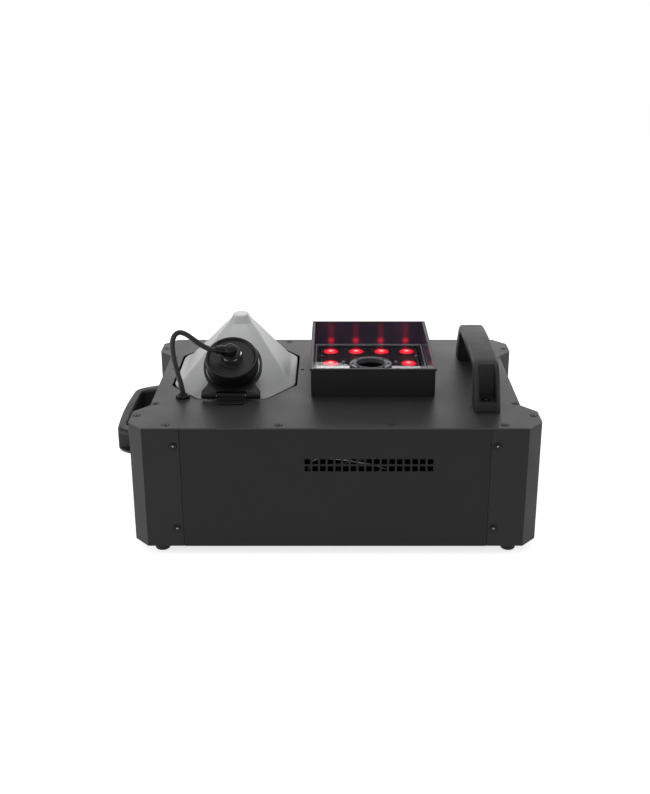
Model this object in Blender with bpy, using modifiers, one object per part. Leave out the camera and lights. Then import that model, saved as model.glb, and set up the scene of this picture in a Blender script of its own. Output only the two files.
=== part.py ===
"""Fog machine with a lit vertical nozzle, an external fluid tank and two carrying handles.

Metres, +Z up. The nozzle side with the square vent is the front (-Y), the controls are at
the back (+Y). The origin is the centre of the whole object's footprint, on the floor.
"""
import math

import bmesh
import bpy
from mathutils import Matrix, Vector

# ---------------------------------------------------------------- driving dimensions
CLEARANCE = 0.0003              # gap between faces that touch
SHEET = 0.0015                  # casing sheet thickness

BODY_CENTRE = (0.0150, -0.0050)  # middle of the casing, seen from the footprint's middle
BODY_BOTTOM = 0.010             # underside of the base plate, on the feet
PLATE_TOP = 0.146
PLATE_THICKNESS = 0.0015

# casing seen from above: front edge, chamfer, ear, slant, recessed side
HALF_DEPTH = 0.150
HALF_FRONT = 0.2002
EAR_X = 0.216
CHAMFER_Y = 0.1323
EAR_Y = 0.1023
RECESS_X = 0.2005
RECESS_Y = 0.0839
POST_SEAM_X = 0.1615            # joint between a corner post and the front or rear panel

TANK_X = -0.1143                # middle of the tank
TANK_Y = 0.0315
CUTOUT_HALF = (0.0710, 0.0985)  # tank cut-out in the top plate, half sizes
CUTOUT_CORNER = (0.0320, 0.0460)
TANK_GAP = 0.0027               # between the tank and its cut-out
TANK_FLOOR = 0.0148
TANK_WALL = 0.0024

HOOD_X = (-0.0268, 0.1100)
HOOD_Y = (-0.0566, 0.1224)
HOOD_TOP = 0.1785
HOOD_SHEET = 0.0016
HOOD_LIP = 0.0015               # overhang of the hood's rim
WINDOW_TOP = 0.1493             # top of the clear window inside the hood

NOZZLE = (0.0416, 0.0330)
NOZZLE_R = 0.0170
LED_COLUMNS = (-0.0053, 0.0257, 0.0569, 0.0879)
LED_ROWS = (-0.0330, 0.0110, 0.0550, 0.0990)
LENS_R = 0.0095

NECK_CENTRE = (TANK_X, -0.0353, 0.1720)   # middle of the collar ring, on the neck's axis
NECK_TILT = math.radians(33.5)
NECK_R = 0.0243
NECK_BORE_R = 0.0200
CAP_R = 0.0290
CAP_HEIGHT = 0.0200
ELBOW_OUTLET = 0.0325           # height of the elbow's outlet above the ring's middle
COLLAR_HOLE_R = 0.0298
COLLAR_R = 0.0324
COLLAR_STRETCH = 0.0045         # the collar's hole is longer than round, so it swings clear
HINGE_REACH = 0.03845           # from the ring's middle to the hinge axis
KNUCKLE_R = 0.0033
PIN_R = 0.0015

HOSE_R = 0.0029
GLAND = (-0.1680, -0.0600)

HANDLE_WIDTH = 0.0280
TOP_HANDLE = (0.1620, -0.0060)
SIDE_HANDLE_Z = 0.0970

REAR_Y = HALF_DEPTH + CLEARANCE  # where the parts on the outside of the rear panel start

# ---------------------------------------------------------------- scene and helpers
for old in list(bpy.data.objects):
    bpy.data.objects.remove(old, do_unlink=True)

parts = bpy.data.collections.new("fog_machine")
cutters = bpy.data.collections.new("fog_machine_cutters")
bpy.context.scene.collection.children.link(parts)
bpy.context.scene.collection.children.link(cutters)


def material(name, color, roughness, metallic=0.0, alpha=1.0):
    """Principled BSDF with one colour."""
    made = bpy.data.materials.new(name)
    made.use_nodes = True
    shader = made.node_tree.nodes["Principled BSDF"]
    shader.inputs["Base Color"].default_value = (*color, 1.0)
    shader.inputs["Roughness"].default_value = roughness
    shader.inputs["Metallic"].default_value = metallic
    shader.inputs["Alpha"].default_value = alpha
    return made


def frame(name, location, rotation=(0, 0, 0), parent=None):
    """An empty that places the parts parented to it."""
    empty = bpy.data.objects.new(name, None)
    empty.empty_display_size = 0.02
    empty.location = location
    empty.rotation_euler = rotation
    empty.parent = parent
    parts.objects.link(empty)
    return empty


casing = frame("casing_frame", (*BODY_CENTRE, 0))


def place(name, mesh, parent=None, location=(0, 0, 0), rotation=(0, 0, 0), look=None):
    """A part made from a mesh. Without a look it is a cutter or a piece to be joined on."""
    made = bpy.data.objects.new(name, mesh)
    made.parent = parent or casing
    made.location = location
    made.rotation_euler = rotation
    if look is None:
        cutters.objects.link(made)
        made.hide_render = True
        made.display_type = 'WIRE'
        return made
    parts.objects.link(made)
    mesh.materials.clear()
    mesh.materials.append(material(name, *look))
    return made


def boolean(target, operation, tools):
    """Cut the tools out of the target, or join them to it."""
    for tool in tools:
        step = target.modifiers.new(tool.name, 'BOOLEAN')
        step.operation = operation
        step.solver = 'EXACT'
        step.object = tool
    return target


def cut(target, *tools):
    return boolean(target, 'DIFFERENCE', tools)


def join(target, *tools):
    return boolean(target, 'UNION', tools)


def smooth(thing, angle=35):
    """Smooth shading with sharp edges kept."""
    thing.data.shade_smooth()
    thing.data.set_sharp_from_angle(angle=math.radians(angle))
    return thing


def welded(name, source):
    """The mesh of a curve, with its loose caps welded, in place of the curve."""
    view = bpy.context.evaluated_depsgraph_get()
    mesh = bpy.data.meshes.new_from_object(source.evaluated_get(view))
    mesh.name = name
    shape = bmesh.new()
    shape.from_mesh(mesh)
    bmesh.ops.remove_doubles(shape, verts=shape.verts, dist=0.00001)
    bmesh.ops.recalc_face_normals(shape, faces=shape.faces)
    shape.to_mesh(mesh)
    shape.free()
    curve = source.data
    bpy.data.objects.remove(source, do_unlink=True)
    bpy.data.curves.remove(curve)
    return mesh


def flat_mesh(name, loops, low, high):
    """Outline with holes in XY, filled and extruded from low to high along Z."""
    curve = bpy.data.curves.new(name, 'CURVE')
    curve.dimensions = '2D'
    curve.fill_mode = 'BOTH'
    curve.extrude = (high - low) / 2
    for loop in loops:
        spline = curve.splines.new('POLY')
        spline.points.add(len(loop) - 1)
        for point, (x, y) in zip(spline.points, loop):
            point.co = (x, y, 0, 1)
        spline.use_cyclic_u = True
    source = bpy.data.objects.new(name, curve)
    bpy.context.scene.collection.objects.link(source)
    mesh = welded(name, source)
    mesh.transform(Matrix.Translation((0, 0, (low + high) / 2)))
    return mesh


def tube_mesh(name, points, radius, resolution=2):
    """Round tube along a list of points, with filled ends."""
    curve = bpy.data.curves.new(name, 'CURVE')
    curve.dimensions = '3D'
    curve.bevel_depth = radius
    curve.bevel_resolution = resolution
    curve.use_fill_caps = True
    spline = curve.splines.new('POLY')
    spline.points.add(len(points) - 1)
    for target, point in zip(spline.points, points):
        target.co = (*point, 1)
    source = bpy.data.objects.new(name, curve)
    bpy.context.scene.collection.objects.link(source)
    return welded(name, source)


def box_mesh(name, low, high):
    """Box between two corners."""
    mesh = bpy.data.meshes.new(name)
    shape = bmesh.new()
    size = Vector(high) - Vector(low)
    middle = (Vector(high) + Vector(low)) / 2
    bmesh.ops.create_cube(shape, size=1, matrix=Matrix.LocRotScale(middle, None, size))
    shape.to_mesh(mesh)
    shape.free()
    return mesh


def cylinder_mesh(name, radius, low, high, sides=32, top_radius=None):
    """Cylinder or cone along Z."""
    mesh = bpy.data.meshes.new(name)
    shape = bmesh.new()
    bmesh.ops.create_cone(
        shape, cap_ends=True, segments=sides, radius1=radius,
        radius2=radius if top_radius is None else top_radius, depth=high - low,
        matrix=Matrix.Translation((0, 0, (low + high) / 2)))
    shape.to_mesh(mesh)
    shape.free()
    return mesh


def turned(made_name, profile, sides=32, ring=False, **place_words):
    """Turned part: (radius, height) points down its outer side, turned about Z."""
    mesh = bpy.data.meshes.new(made_name)
    count = len(profile)
    edges = [(i, i + 1) for i in range(count - 1)]
    if ring:
        edges.append((count - 1, 0))
    mesh.from_pydata([(r, 0, z) for r, z in profile], edges, [])
    made = place(made_name, mesh, **place_words)
    turn = made.modifiers.new("turn", 'SCREW')
    turn.steps = turn.render_steps = sides
    turn.use_merge_vertices = True
    turn.merge_threshold = 0.00002
    turn.use_smooth_shade = True
    return made


def soften(made, width=0.0006, segments=1, angle=40):
    """Small rounded edges."""
    bevel = made.modifiers.new("soft_edges", 'BEVEL')
    bevel.width = width
    bevel.segments = segments
    bevel.limit_method = 'ANGLE'
    bevel.angle_limit = math.radians(angle)
    return made


def rectangle(x0, x1, y0, y1):
    return [(x0, y0), (x1, y0), (x1, y1), (x0, y1)]


def disc(radius, x=0.0, y=0.0, sides=32):
    return [(x + radius * math.cos(2 * math.pi * i / sides),
             y + radius * math.sin(2 * math.pi * i / sides)) for i in range(sides)]


def arc(x, y, radius, start, end, count):
    """Points on an arc from start to end, in degrees."""
    angles = [math.radians(start + (end - start) * i / (count - 1)) for i in range(count)]
    return [(x + radius * math.cos(a), y + radius * math.sin(a)) for a in angles]


def cut_rectangle(half_x, half_y, corner_x, corner_y, x=0.0, y=0.0):
    """Rectangle with its four corners cut off, anticlockwise."""
    quarter = [(half_x, -half_y + corner_y), (half_x, half_y - corner_y),
               (half_x - corner_x, half_y), (-half_x + corner_x, half_y)]
    other = [(-px, -py) for px, py in quarter]
    return [(x + px, y + py) for px, py in quarter + other]


def inset(loop, distance, closed=True):
    """Move each side of an anticlockwise outline inward by a distance."""
    count = len(loop)
    moved = []
    for i, point in enumerate(loop):
        here = Vector(point)
        before = here - Vector(loop[i - 1]) if closed or i > 0 else None
        after = Vector(loop[(i + 1) % count]) - here if closed or i < count - 1 else None
        normals = [Vector((-d.y, d.x)).normalized() for d in (before, after) if d is not None]
        middle = sum(normals, Vector((0, 0))).normalized()
        moved.append(tuple(here + middle * (distance / middle.dot(normals[0]))))
    return moved


def smooth_route(points, step):
    """Points every step along a smooth curve through a route's own points."""
    route = [Vector(p) for p in points]
    route = [2 * route[0] - route[1], *route, 2 * route[-1] - route[-2]]
    dense = []
    for a, b, c, d in zip(route, route[1:], route[2:], route[3:]):
        for k in range(16):
            t = k / 16
            dense.append(0.5 * (2 * b + (c - a) * t + (2 * a - 5 * b + 4 * c - d) * t ** 2
                                + (3 * b - a - 3 * c + d) * t ** 3))
    dense.append(route[-2])
    lengths = [0.0]
    for a, b in zip(dense, dense[1:]):
        lengths.append(lengths[-1] + (b - a).length)
    pieces = max(2, round(lengths[-1] / step))
    taken = []
    index = 0
    for k in range(pieces + 1):
        target = lengths[-1] * k / pieces
        while index < len(lengths) - 2 and lengths[index + 1] < target:
            index += 1
        span = lengths[index + 1] - lengths[index]
        taken.append(tuple(dense[index].lerp(dense[index + 1], (target - lengths[index]) / span)))
    return taken


# looks: colour, roughness, metallic, alpha
POWDER_BLACK = ((0.030, 0.031, 0.033), 0.45)
BLACK_PLASTIC = ((0.020, 0.020, 0.021), 0.50)
SOFT_BLACK = ((0.028, 0.028, 0.029), 0.62)
MILKY = ((0.80, 0.81, 0.80), 0.35, 0.0, 0.75)
CLEAR = ((0.90, 0.92, 0.94), 0.05, 0.0, 0.30)
STEEL = ((0.62, 0.62, 0.62), 0.30, 1.0)
BRASS = ((0.72, 0.53, 0.25), 0.30, 1.0)
ALUMINIUM = ((0.70, 0.71, 0.72), 0.40, 1.0)
BOARD_GREEN = ((0.02, 0.14, 0.06), 0.50)
RUBBER = ((0.015, 0.015, 0.015), 0.80)
SILICONE = ((0.75, 0.75, 0.72), 0.45)

FACING_FRONT = (math.pi / 2, 0, 0)      # local X, Y, Z point to +X, +Z, -Y
FACING_RIGHT = (math.pi / 2, 0, math.pi / 2)   # local X, Y, Z point to +Y, +Z, +X
FACING_BACK = (-math.pi / 2, 0, 0)      # local X, Y, Z point to +X, -Z, +Y


# ---------------------------------------------------------------- casing
def plan_outline():
    """The casing seen from above, anticlockwise."""
    corner = [(HALF_FRONT, -HALF_DEPTH), (EAR_X, -CHAMFER_Y), (EAR_X, -EAR_Y),
              (RECESS_X, -RECESS_Y)]
    right = corner + [(x, -y) for x, y in reversed(corner)]
    return right + [(-x, -y) for x, y in right]


def tank_outline(gap):
    return inset(cut_rectangle(*CUTOUT_HALF, *CUTOUT_CORNER, TANK_X, TANK_Y), gap)


PANEL_LOW = BODY_BOTTOM
PANEL_HIGH = PLATE_TOP - PLATE_THICKNESS - CLEARANCE
BASE_TOP = BODY_BOTTOM + 0.0020


def make_base():
    loop = inset(plan_outline(), SHEET + CLEARANCE)
    place("base_plate", flat_mesh("base_plate", [loop], BODY_BOTTOM, BASE_TOP),
          look=POWDER_BLACK)
    foot = [(0, BODY_BOTTOM - CLEARANCE), (0.0072, BODY_BOTTOM - CLEARANCE), (0.0080, 0.0088),
            (0.0080, 0.0012), (0.0068, 0), (0, 0)]
    for side, x in (("left", -0.187), ("right", 0.187)):
        for end, y in (("front", -0.134), ("rear", 0.134)):
            turned(f"foot_{end}_{side}", foot, 20, location=(x, y, 0), look=RUBBER)


def make_corner_posts():
    """Four bent corner posts that wrap from the front or rear onto the sides."""
    outer = [(POST_SEAM_X, -HALF_DEPTH), (HALF_FRONT, -HALF_DEPTH), (EAR_X, -CHAMFER_Y),
             (EAR_X, -EAR_Y), (RECESS_X, -RECESS_Y)]
    inner = inset(outer, SHEET, closed=False)
    loop = outer + inner[::-1]
    for side, sx in (("left", -1), ("right", 1)):
        for end, sy in (("front", 1), ("rear", -1)):
            turned_loop = [(x * sx, y * sy) for x, y in loop]
            name = f"corner_post_{end}_{side}"
            place(name, flat_mesh(name, [turned_loop], PANEL_LOW, PANEL_HIGH),
                  look=POWDER_BLACK)


def make_panels():
    seam = POST_SEAM_X - CLEARANCE
    vent = [rectangle(x - 0.003, x + 0.003, z - 0.003, z + 0.003)
            for x in (0.035 + 0.008 * i for i in range(-8, 9)) for z in (0.1005, 0.1085)]
    front = [rectangle(-seam, seam, PANEL_LOW, PANEL_HIGH), *vent]
    place("front_panel", flat_mesh("front_panel", front, 0, SHEET),
          location=(0, -HALF_DEPTH + SHEET, 0), rotation=FACING_FRONT, look=POWDER_BLACK)

    # the rear panel's outline is drawn as seen from the front, so its X isn't mirrored
    rear = [rectangle(-seam, seam, PANEL_LOW, PANEL_HIGH),
            rectangle(*MENU_CUTOUT), rectangle(*INLET_CUTOUT), rectangle(*SWITCH_CUTOUT),
            disc(FUSE_BODY_R + CLEARANCE, *FUSE_AT, 24)]
    rear += [disc(SOCKET_BODY_R + CLEARANCE, *at, 24) for at in (SIGNAL_IN_AT, SIGNAL_OUT_AT)]
    place("rear_panel", flat_mesh("rear_panel", rear, 0, SHEET),
          location=(0, HALF_DEPTH, 0), rotation=FACING_FRONT, look=POWDER_BLACK)

    reach = RECESS_Y - 0.0009
    side = rectangle(-reach, reach, PANEL_LOW, PANEL_HIGH)
    slots = [rectangle(FAN_AT[0] - 0.023, FAN_AT[0] + 0.023, z, z + 0.0036)
             for z in (FAN_AT[1] - 0.0258 + 0.008 * i for i in range(7))]
    place("side_panel_right", flat_mesh("side_panel_right", [side, *slots], 0, SHEET),
          location=(RECESS_X - SHEET, 0, 0), rotation=FACING_RIGHT, look=POWDER_BLACK)
    place("side_panel_left", flat_mesh("side_panel_left", [side], 0, SHEET),
          location=(-RECESS_X, 0, 0), rotation=FACING_RIGHT, look=POWDER_BLACK)


def make_top_plate():
    window = rectangle(HOOD_X[0] + 0.0075, HOOD_X[1] - 0.0075,
                       HOOD_Y[0] + 0.0075, HOOD_Y[1] - 0.0075)
    loops = [plan_outline(), tank_outline(0), window, disc(0.0072, *GLAND, 24),
             disc(0.0024, -0.1904, 0.0360, 12), disc(0.0024, -0.0388, 0.0337, 12)]
    mesh = flat_mesh("top_plate", loops, PLATE_TOP - PLATE_THICKNESS, PLATE_TOP)
    place("top_plate", mesh, look=POWDER_BLACK)


def handle(name, length, height, knee, **place_words):
    """Bow handle: local Y along it, Z up from its seat, X across. Each leg bends into the grip
    at the knee's distance from its end, and has an open channel down to a screw pocket."""
    half = length / 2
    shoulder = [(-half + knee * along, height * up) for along, up in
                ((0, 0), (0.12, 0.25), (0.30, 0.45), (0.50, 0.62), (0.75, 0.78), (1.0, 0.88))]
    crown_half = half - knee * 1.33
    crown = [(y, height * (1 - 0.065 * (y / crown_half) ** 2))
             for y in (crown_half * i / 4 for i in range(-4, 5))]
    outer = shoulder + crown + [(-y, z) for y, z in reversed(shoulder)]
    leg = [(-half + knee * 0.90 + 0.0050, 0), (-half + knee * 0.93 + 0.0060, height * 0.38),
           (-half + knee * 0.98 + 0.0075, height * 0.65),
           (-half + knee * 1.07 + 0.0115, height - 0.0122)]
    inner = leg + [(0, height - 0.0120)] + [(-y, z) for y, z in reversed(leg)]
    mesh = flat_mesh(name, [outer[::-1] + inner], -HANDLE_WIDTH / 2, HANDLE_WIDTH / 2)
    stand = Matrix.Rotation(math.pi / 2, 4, 'Z') @ Matrix.Rotation(math.pi / 2, 4, 'X')
    mesh.transform(stand)
    made = place(name, mesh, look=SOFT_BLACK, **place_words)
    for end in (-1, 1):
        pocket = [(half + 0.010, 0.0108), (half - 0.0040, 0.0108), (half - 0.0050, 0.0085),
                  (half - knee * 0.90, 0.0085), (half - knee * 0.98, height * 0.60),
                  (half - knee * 1.07, height * 0.90), (half - knee * 1.07, height + 0.010),
                  (half + 0.010, height + 0.010)]
        channel = flat_mesh("pocket", [[(end * y, z) for y, z in pocket]], -0.0092, 0.0092)
        channel.transform(stand)
        cut(made, place(f"{name}_pocket", channel, **place_words))
    return soften(smooth(made, 40), 0.0014, 1, 50)


def make_handles():
    handle("top_handle", 0.2030, 0.0500, 0.0270,
           location=(*TOP_HANDLE, PLATE_TOP + CLEARANCE))
    handle("side_handle", 0.1660, 0.0452, 0.0190, rotation=(0, -math.pi / 2, 0),
           location=(-RECESS_X - CLEARANCE, 0, SIDE_HANDLE_Z))


# ---------------------------------------------------------------- hood, light and nozzle
def make_hood():
    outside = rectangle(*HOOD_X, *HOOD_Y)
    wall = [outside, inset(outside, HOOD_SHEET)]
    lip = [inset(outside, -HOOD_LIP), inset(outside, HOOD_SHEET)]
    hood = place("hood", flat_mesh("hood", wall, PLATE_TOP + CLEARANCE, HOOD_TOP - 0.001),
                 look=POWDER_BLACK)
    join(hood, place("hood_lip", flat_mesh("hood_lip", lip, HOOD_TOP - 0.0022, HOOD_TOP)))

    inside = inset(outside, HOOD_SHEET + CLEARANCE)
    window = [inside, disc(0.0193, *NOZZLE, 40)]
    place("light_window", flat_mesh("light_window", window, PLATE_TOP + CLEARANCE, WINDOW_TOP),
          look=CLEAR)


def make_light():
    """Twelve collimator lenses moulded on one carrier, over the lamp board."""
    inside = rectangle(HOOD_X[0] + 0.0095, HOOD_X[1] - 0.0095,
                       HOOD_Y[0] + 0.0095, HOOD_Y[1] - 0.0095)
    hole = disc(0.0200, *NOZZLE, 40)
    array = place("lens_array", flat_mesh("lens_array", [inside, hole], 0.1415, 0.1430),
                  look=CLEAR)
    for row in LED_ROWS:
        inner_columns = row in (LED_ROWS[0], LED_ROWS[-1])
        for column in (LED_COLUMNS if inner_columns else (LED_COLUMNS[0], LED_COLUMNS[-1])):
            lens = cylinder_mesh("lens", 0.0080, 0.1424, 0.1456, 14, LENS_R)
            join(array, place("lens", lens, location=(column, row, 0)))
    place("lamp_board", flat_mesh("lamp_board", [inside, hole], 0.1362, 0.1378),
          look=((0.010, 0.010, 0.011), 0.50))


def make_nozzle():
    ring = [(NOZZLE_R, WINDOW_TOP + CLEARANCE), (NOZZLE_R, 0.1545), (0.0180, 0.1553),
            (0.0228, 0.1553), (0.0248, 0.1535), (0.0250, WINDOW_TOP + CLEARANCE)]
    turned("nozzle_ring", ring, 32, True, location=(*NOZZLE, 0), look=BLACK_PLASTIC)
    tube = [(NOZZLE_R, 0.1000), (NOZZLE_R, WINDOW_TOP), (0.0190, WINDOW_TOP), (0.0190, 0.1000)]
    turned("nozzle_tube", tube, 32, True, location=(*NOZZLE, 0), look=BLACK_PLASTIC)


# ---------------------------------------------------------------- tank, cap and collar
neck = frame("neck_frame", NECK_CENTRE, (NECK_TILT, 0, 0), casing)
hinge = frame("collar_hinge_axis", (0, -HINGE_REACH, 0), (0, 0, 0), neck)

# the tank's top, from the plate's level to the flat peak: height, half width, front, rear
TANK_TOP = [(0.1460, 0.0683, -0.0643, 0.1273), (0.1495, 0.0610, -0.0520, 0.1225),
            (0.1590, 0.0495, -0.0180, 0.1180), (0.1700, 0.0368, 0.0150, 0.1130),
            (0.1800, 0.0260, 0.0440, 0.1080), (0.1870, 0.0185, 0.0610, 0.1040),
            (0.1915, 0.0135, 0.0690, 0.1010), (0.1960, 0.0105, 0.0715, 0.0985),
            (0.1995, 0.0092, 0.0730, 0.0970), (0.2005, 0.0075, 0.0750, 0.0950)]


def tank_ring(half_width, front, rear, height):
    """One level of the tank: a rectangle with cut corners, in proportion to its size."""
    half_length = (rear - front) / 2
    corner_x = half_width * CUTOUT_CORNER[0] / CUTOUT_HALF[0]
    corner_y = half_length * CUTOUT_CORNER[1] / CUTOUT_HALF[1]
    loop = cut_rectangle(half_width, half_length, corner_x, corner_y, TANK_X,
                         (front + rear) / 2)
    rounded = []
    for i, point in enumerate(loop):
        before, after = Vector(loop[i - 1]), Vector(loop[(i + 1) % len(loop)])
        here = Vector(point)
        reach = 0.16 * min((before - here).length, (after - here).length)
        start = here + (before - here).normalized() * reach
        end = here + (after - here).normalized() * reach
        rounded += [start, (start + end) / 4 + here / 2, end]
    return [(p.x, p.y, height) for p in rounded]


def tank_shell(name, wall):
    """The tank's outer surface, or with a wall its inner one, lofted through its levels."""
    side = [(TANK_FLOOR + wall, 0.0040), (TANK_FLOOR + 0.0012 + wall, 0.0012),
            (TANK_FLOOR + 0.0045 + wall, 0.0), (0.1200, 0.0)]
    _, half_width, front, rear = TANK_TOP[0]
    levels = [(z, half_width - g, front + g, rear - g) for z, g in side] + TANK_TOP
    mesh = bpy.data.meshes.new(name)
    shape = bmesh.new()
    rings = []
    for index, (z, half_width, front, rear) in enumerate(levels):
        lower = wall if index >= len(side) else 0
        sides = tank_ring(half_width - wall, front + wall, rear - wall, z - lower)
        rings.append([shape.verts.new(p) for p in sides])
    for below, above in zip(rings, rings[1:]):
        for i in range(len(below)):
            shape.faces.new((below[i - 1], below[i], above[i], above[i - 1]))
    shape.faces.new(rings[0][::-1])
    shape.faces.new(rings[-1])
    bmesh.ops.recalc_face_normals(shape, faces=shape.faces)
    shape.to_mesh(mesh)
    shape.free()
    return mesh


def make_tank():
    tank = place("tank", tank_shell("tank", 0), look=MILKY)
    outside = cylinder_mesh("neck", NECK_R, -0.0300, 0.0118, 32)
    bore = cylinder_mesh("neck_bore", NECK_BORE_R, -0.0420, 0.0200, 32)
    join(tank, place("tank_neck", outside, neck))
    cut(tank, place("tank_inside", tank_shell("tank_inside", TANK_WALL)),
        place("tank_neck_bore", bore, neck))
    smooth(tank, 30)
    pad = inset(tank_outline(TANK_GAP), 0.0060)
    place("tank_pad", flat_mesh("tank_pad", [pad], BASE_TOP + CLEARANCE,
                                TANK_FLOOR - CLEARANCE), look=RUBBER)


def make_cap():
    rim = CAP_R
    profile = [(0.0054, 0.0140), (0.0054, 0.0176), (0.0250, 0.0176), (0.0262, 0.0196),
               (0.0276, CAP_HEIGHT), (rim - 0.0003, 0.0188), (rim, 0.0180), (rim, 0.0012),
               (rim - 0.0007, 0.0005), (0.0266, 0.0005), (0.0266, 0.0120), (0.0250, 0.0140)]
    smooth(turned("tank_cap", profile, 36, True, parent=neck, look=BLACK_PLASTIC))


def make_cap_fitting():
    """Elbow through the middle of the cap, its nut, and the tube that hangs in the fluid."""
    elbow = turned("elbow_fitting",
                   [(0, 0.0385), (0.0040, 0.0380), (0.0062, 0.0358), (0.0065, 0.0330),
                    (0.0065, 0.0275), (0.0049, 0.0270), (0.0049, 0.0135), (0.0090, 0.0135),
                    (0.0090, 0.0120), (0.0047, 0.0120), (0.0047, 0.0060), (0, 0.0060)],
                   24, parent=neck, look=BLACK_PLASTIC)
    outlet = cylinder_mesh("outlet", 0.0048, 0.0, 0.0160, 20, 0.0042)
    join(elbow, place("elbow_outlet", outlet, neck, (0, 0, ELBOW_OUTLET), (0, -math.pi / 2, 0)))

    hexagon = [disc(0.0121, 0, 0, 6), disc(0.0053, 0, 0, 24)]
    place("elbow_nut", flat_mesh("elbow_nut", hexagon, 0.0179, 0.0266), neck, look=STEEL)

    tube = [(0.0032, 0.0057), (0.0040, 0.0057), (0.0040, -0.1380), (0.0032, -0.1380)]
    turned("pickup_tube", tube, 20, True, parent=neck, look=SILICONE)
    strainer = [(0, -0.1383), (0.0070, -0.1383), (0.0078, -0.1395), (0.0078, -0.1520),
                (0.0066, -0.1535), (0, -0.1535)]
    turned("pickup_strainer", strainer, 20, parent=neck, look=BRASS)


def make_collar():
    """Ring that holds the cap down, hinged on the top plate in front of the tank."""
    front = -HINGE_REACH + KNUCKLE_R + 0.0006
    flare = [(0.0323, -HINGE_REACH), (0.0323, -0.0350), (0.0306, -0.0318), (0.0275, -0.0272),
             (0.0256, -0.0225)]
    shoulder = arc(0, 0, COLLAR_R, -38, 0, 5)
    crown = arc(0, COLLAR_STRETCH, COLLAR_R, 0, 180, 21)
    left = [(-x, y) for x, y in reversed(flare + shoulder)]
    notch = [(-0.0160, -HINGE_REACH), (-0.0160, front), (0.0160, front),
             (0.0160, -HINGE_REACH)]
    outer = flare + shoulder + crown + left + notch
    hole = (arc(0, COLLAR_STRETCH, COLLAR_HOLE_R, 0, 180, 21)
            + arc(0, 0, COLLAR_HOLE_R, 180, 360, 21))
    mesh = flat_mesh("retaining_collar", [outer, hole], -0.0030, 0.0030)
    collar = place("retaining_collar", mesh, hinge, (0, HINGE_REACH, 0), look=BLACK_PLASTIC)
    for side in (-1, 1):
        knuckle = cylinder_mesh("knuckle", KNUCKLE_R, -0.00805, 0.00805, 24)
        join(collar, place("collar_knuckle", knuckle, hinge, (side * 0.02425, 0, 0),
                           (0, math.pi / 2, 0)))
    hole_mesh = cylinder_mesh("pin_hole", PIN_R + 0.0004, -0.040, 0.040, 20)
    cut(collar, place("collar_pin_hole", hole_mesh, hinge, rotation=(0, math.pi / 2, 0)))

    axis_y = NECK_CENTRE[1] - HINGE_REACH * math.cos(NECK_TILT)
    axis_z = NECK_CENTRE[2] - HINGE_REACH * math.sin(NECK_TILT)
    low = PLATE_TOP + CLEARANCE
    strap = [(-0.0840, low), (axis_y + 0.0010, low), (axis_y + 0.0026, axis_z - 0.0012),
             (axis_y - 0.0026, axis_z), (axis_y - 0.0042, low + 0.0018), (-0.0840, low + 0.0018)]
    lug = place("hinge_lug", flat_mesh("hinge_lug", [strap], -0.0155, 0.0155),
                location=(TANK_X, 0, 0), rotation=FACING_RIGHT, look=STEEL)
    join(lug, place("lug_knuckle", cylinder_mesh("lug_knuckle", KNUCKLE_R, -0.0155, 0.0155, 24),
                    location=(TANK_X, axis_y, axis_z), rotation=(0, math.pi / 2, 0)))
    cut(lug, place("lug_pin_hole", cylinder_mesh("lug_pin_hole", PIN_R + 0.0001, -0.04, 0.04, 20),
                   location=(TANK_X, axis_y, axis_z), rotation=(0, math.pi / 2, 0)))
    place("hinge_pin", cylinder_mesh("hinge_pin", PIN_R, -0.0330, 0.0330, 20), hinge,
          rotation=(0, math.pi / 2, 0), look=STEEL)


# route of the fluid hose from the elbow's outlet to the gland in the top plate
HOSE_ROUTE = [(-0.1306, -0.0532, 0.1991), (-0.1370, -0.0531, 0.1998),
              (-0.1460, -0.0520, 0.2040), (-0.1560, -0.0508, 0.2112),
              (-0.1640, -0.0500, 0.2165), (-0.1705, -0.0500, 0.2178),
              (-0.1755, -0.0505, 0.2140), (-0.1780, -0.0512, 0.2060),
              (-0.1775, -0.0525, 0.1930), (-0.1745, -0.0550, 0.1780),
              (-0.1705, -0.0580, 0.1640), (-0.1682, -0.0597, 0.1540),
              (-0.1680, -0.0600, 0.1460), (-0.1680, -0.0600, 0.1360)]
# route of the hose inside the casing, from under the gland to the pump
INNER_ROUTE = [(-0.1680, -0.0600, 0.1357), (-0.1680, -0.0620, 0.1000),
               (-0.1670, -0.0780, 0.0600), (-0.1500, -0.1000, 0.0400),
               (-0.1000, -0.1080, 0.0360), (0.0000, -0.1080, 0.0360),
               (0.0560, -0.0990, 0.0375), (0.0800, -0.0950, 0.0380),
               (0.0900, -0.0950, 0.0380)]


def make_hose():
    gland = [(0.0033, 0.1335), (0.0033, 0.1500), (0.0052, 0.1500), (0.0076, 0.1488),
             (0.0078, 0.1463), (0.0069, 0.1463), (0.0069, 0.1335)]
    turned("hose_gland", gland, 24, True, location=(*GLAND, 0), look=BLACK_PLASTIC)
    smooth(place("fluid_hose", tube_mesh("fluid_hose", smooth_route(HOSE_ROUTE, 0.0060), HOSE_R),
                 look=BLACK_PLASTIC), 60)
    smooth(place("pump_inlet_hose",
                 tube_mesh("pump_inlet_hose", smooth_route(INNER_ROUTE, 0.0140), HOSE_R),
                 look=BLACK_PLASTIC), 60)


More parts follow.
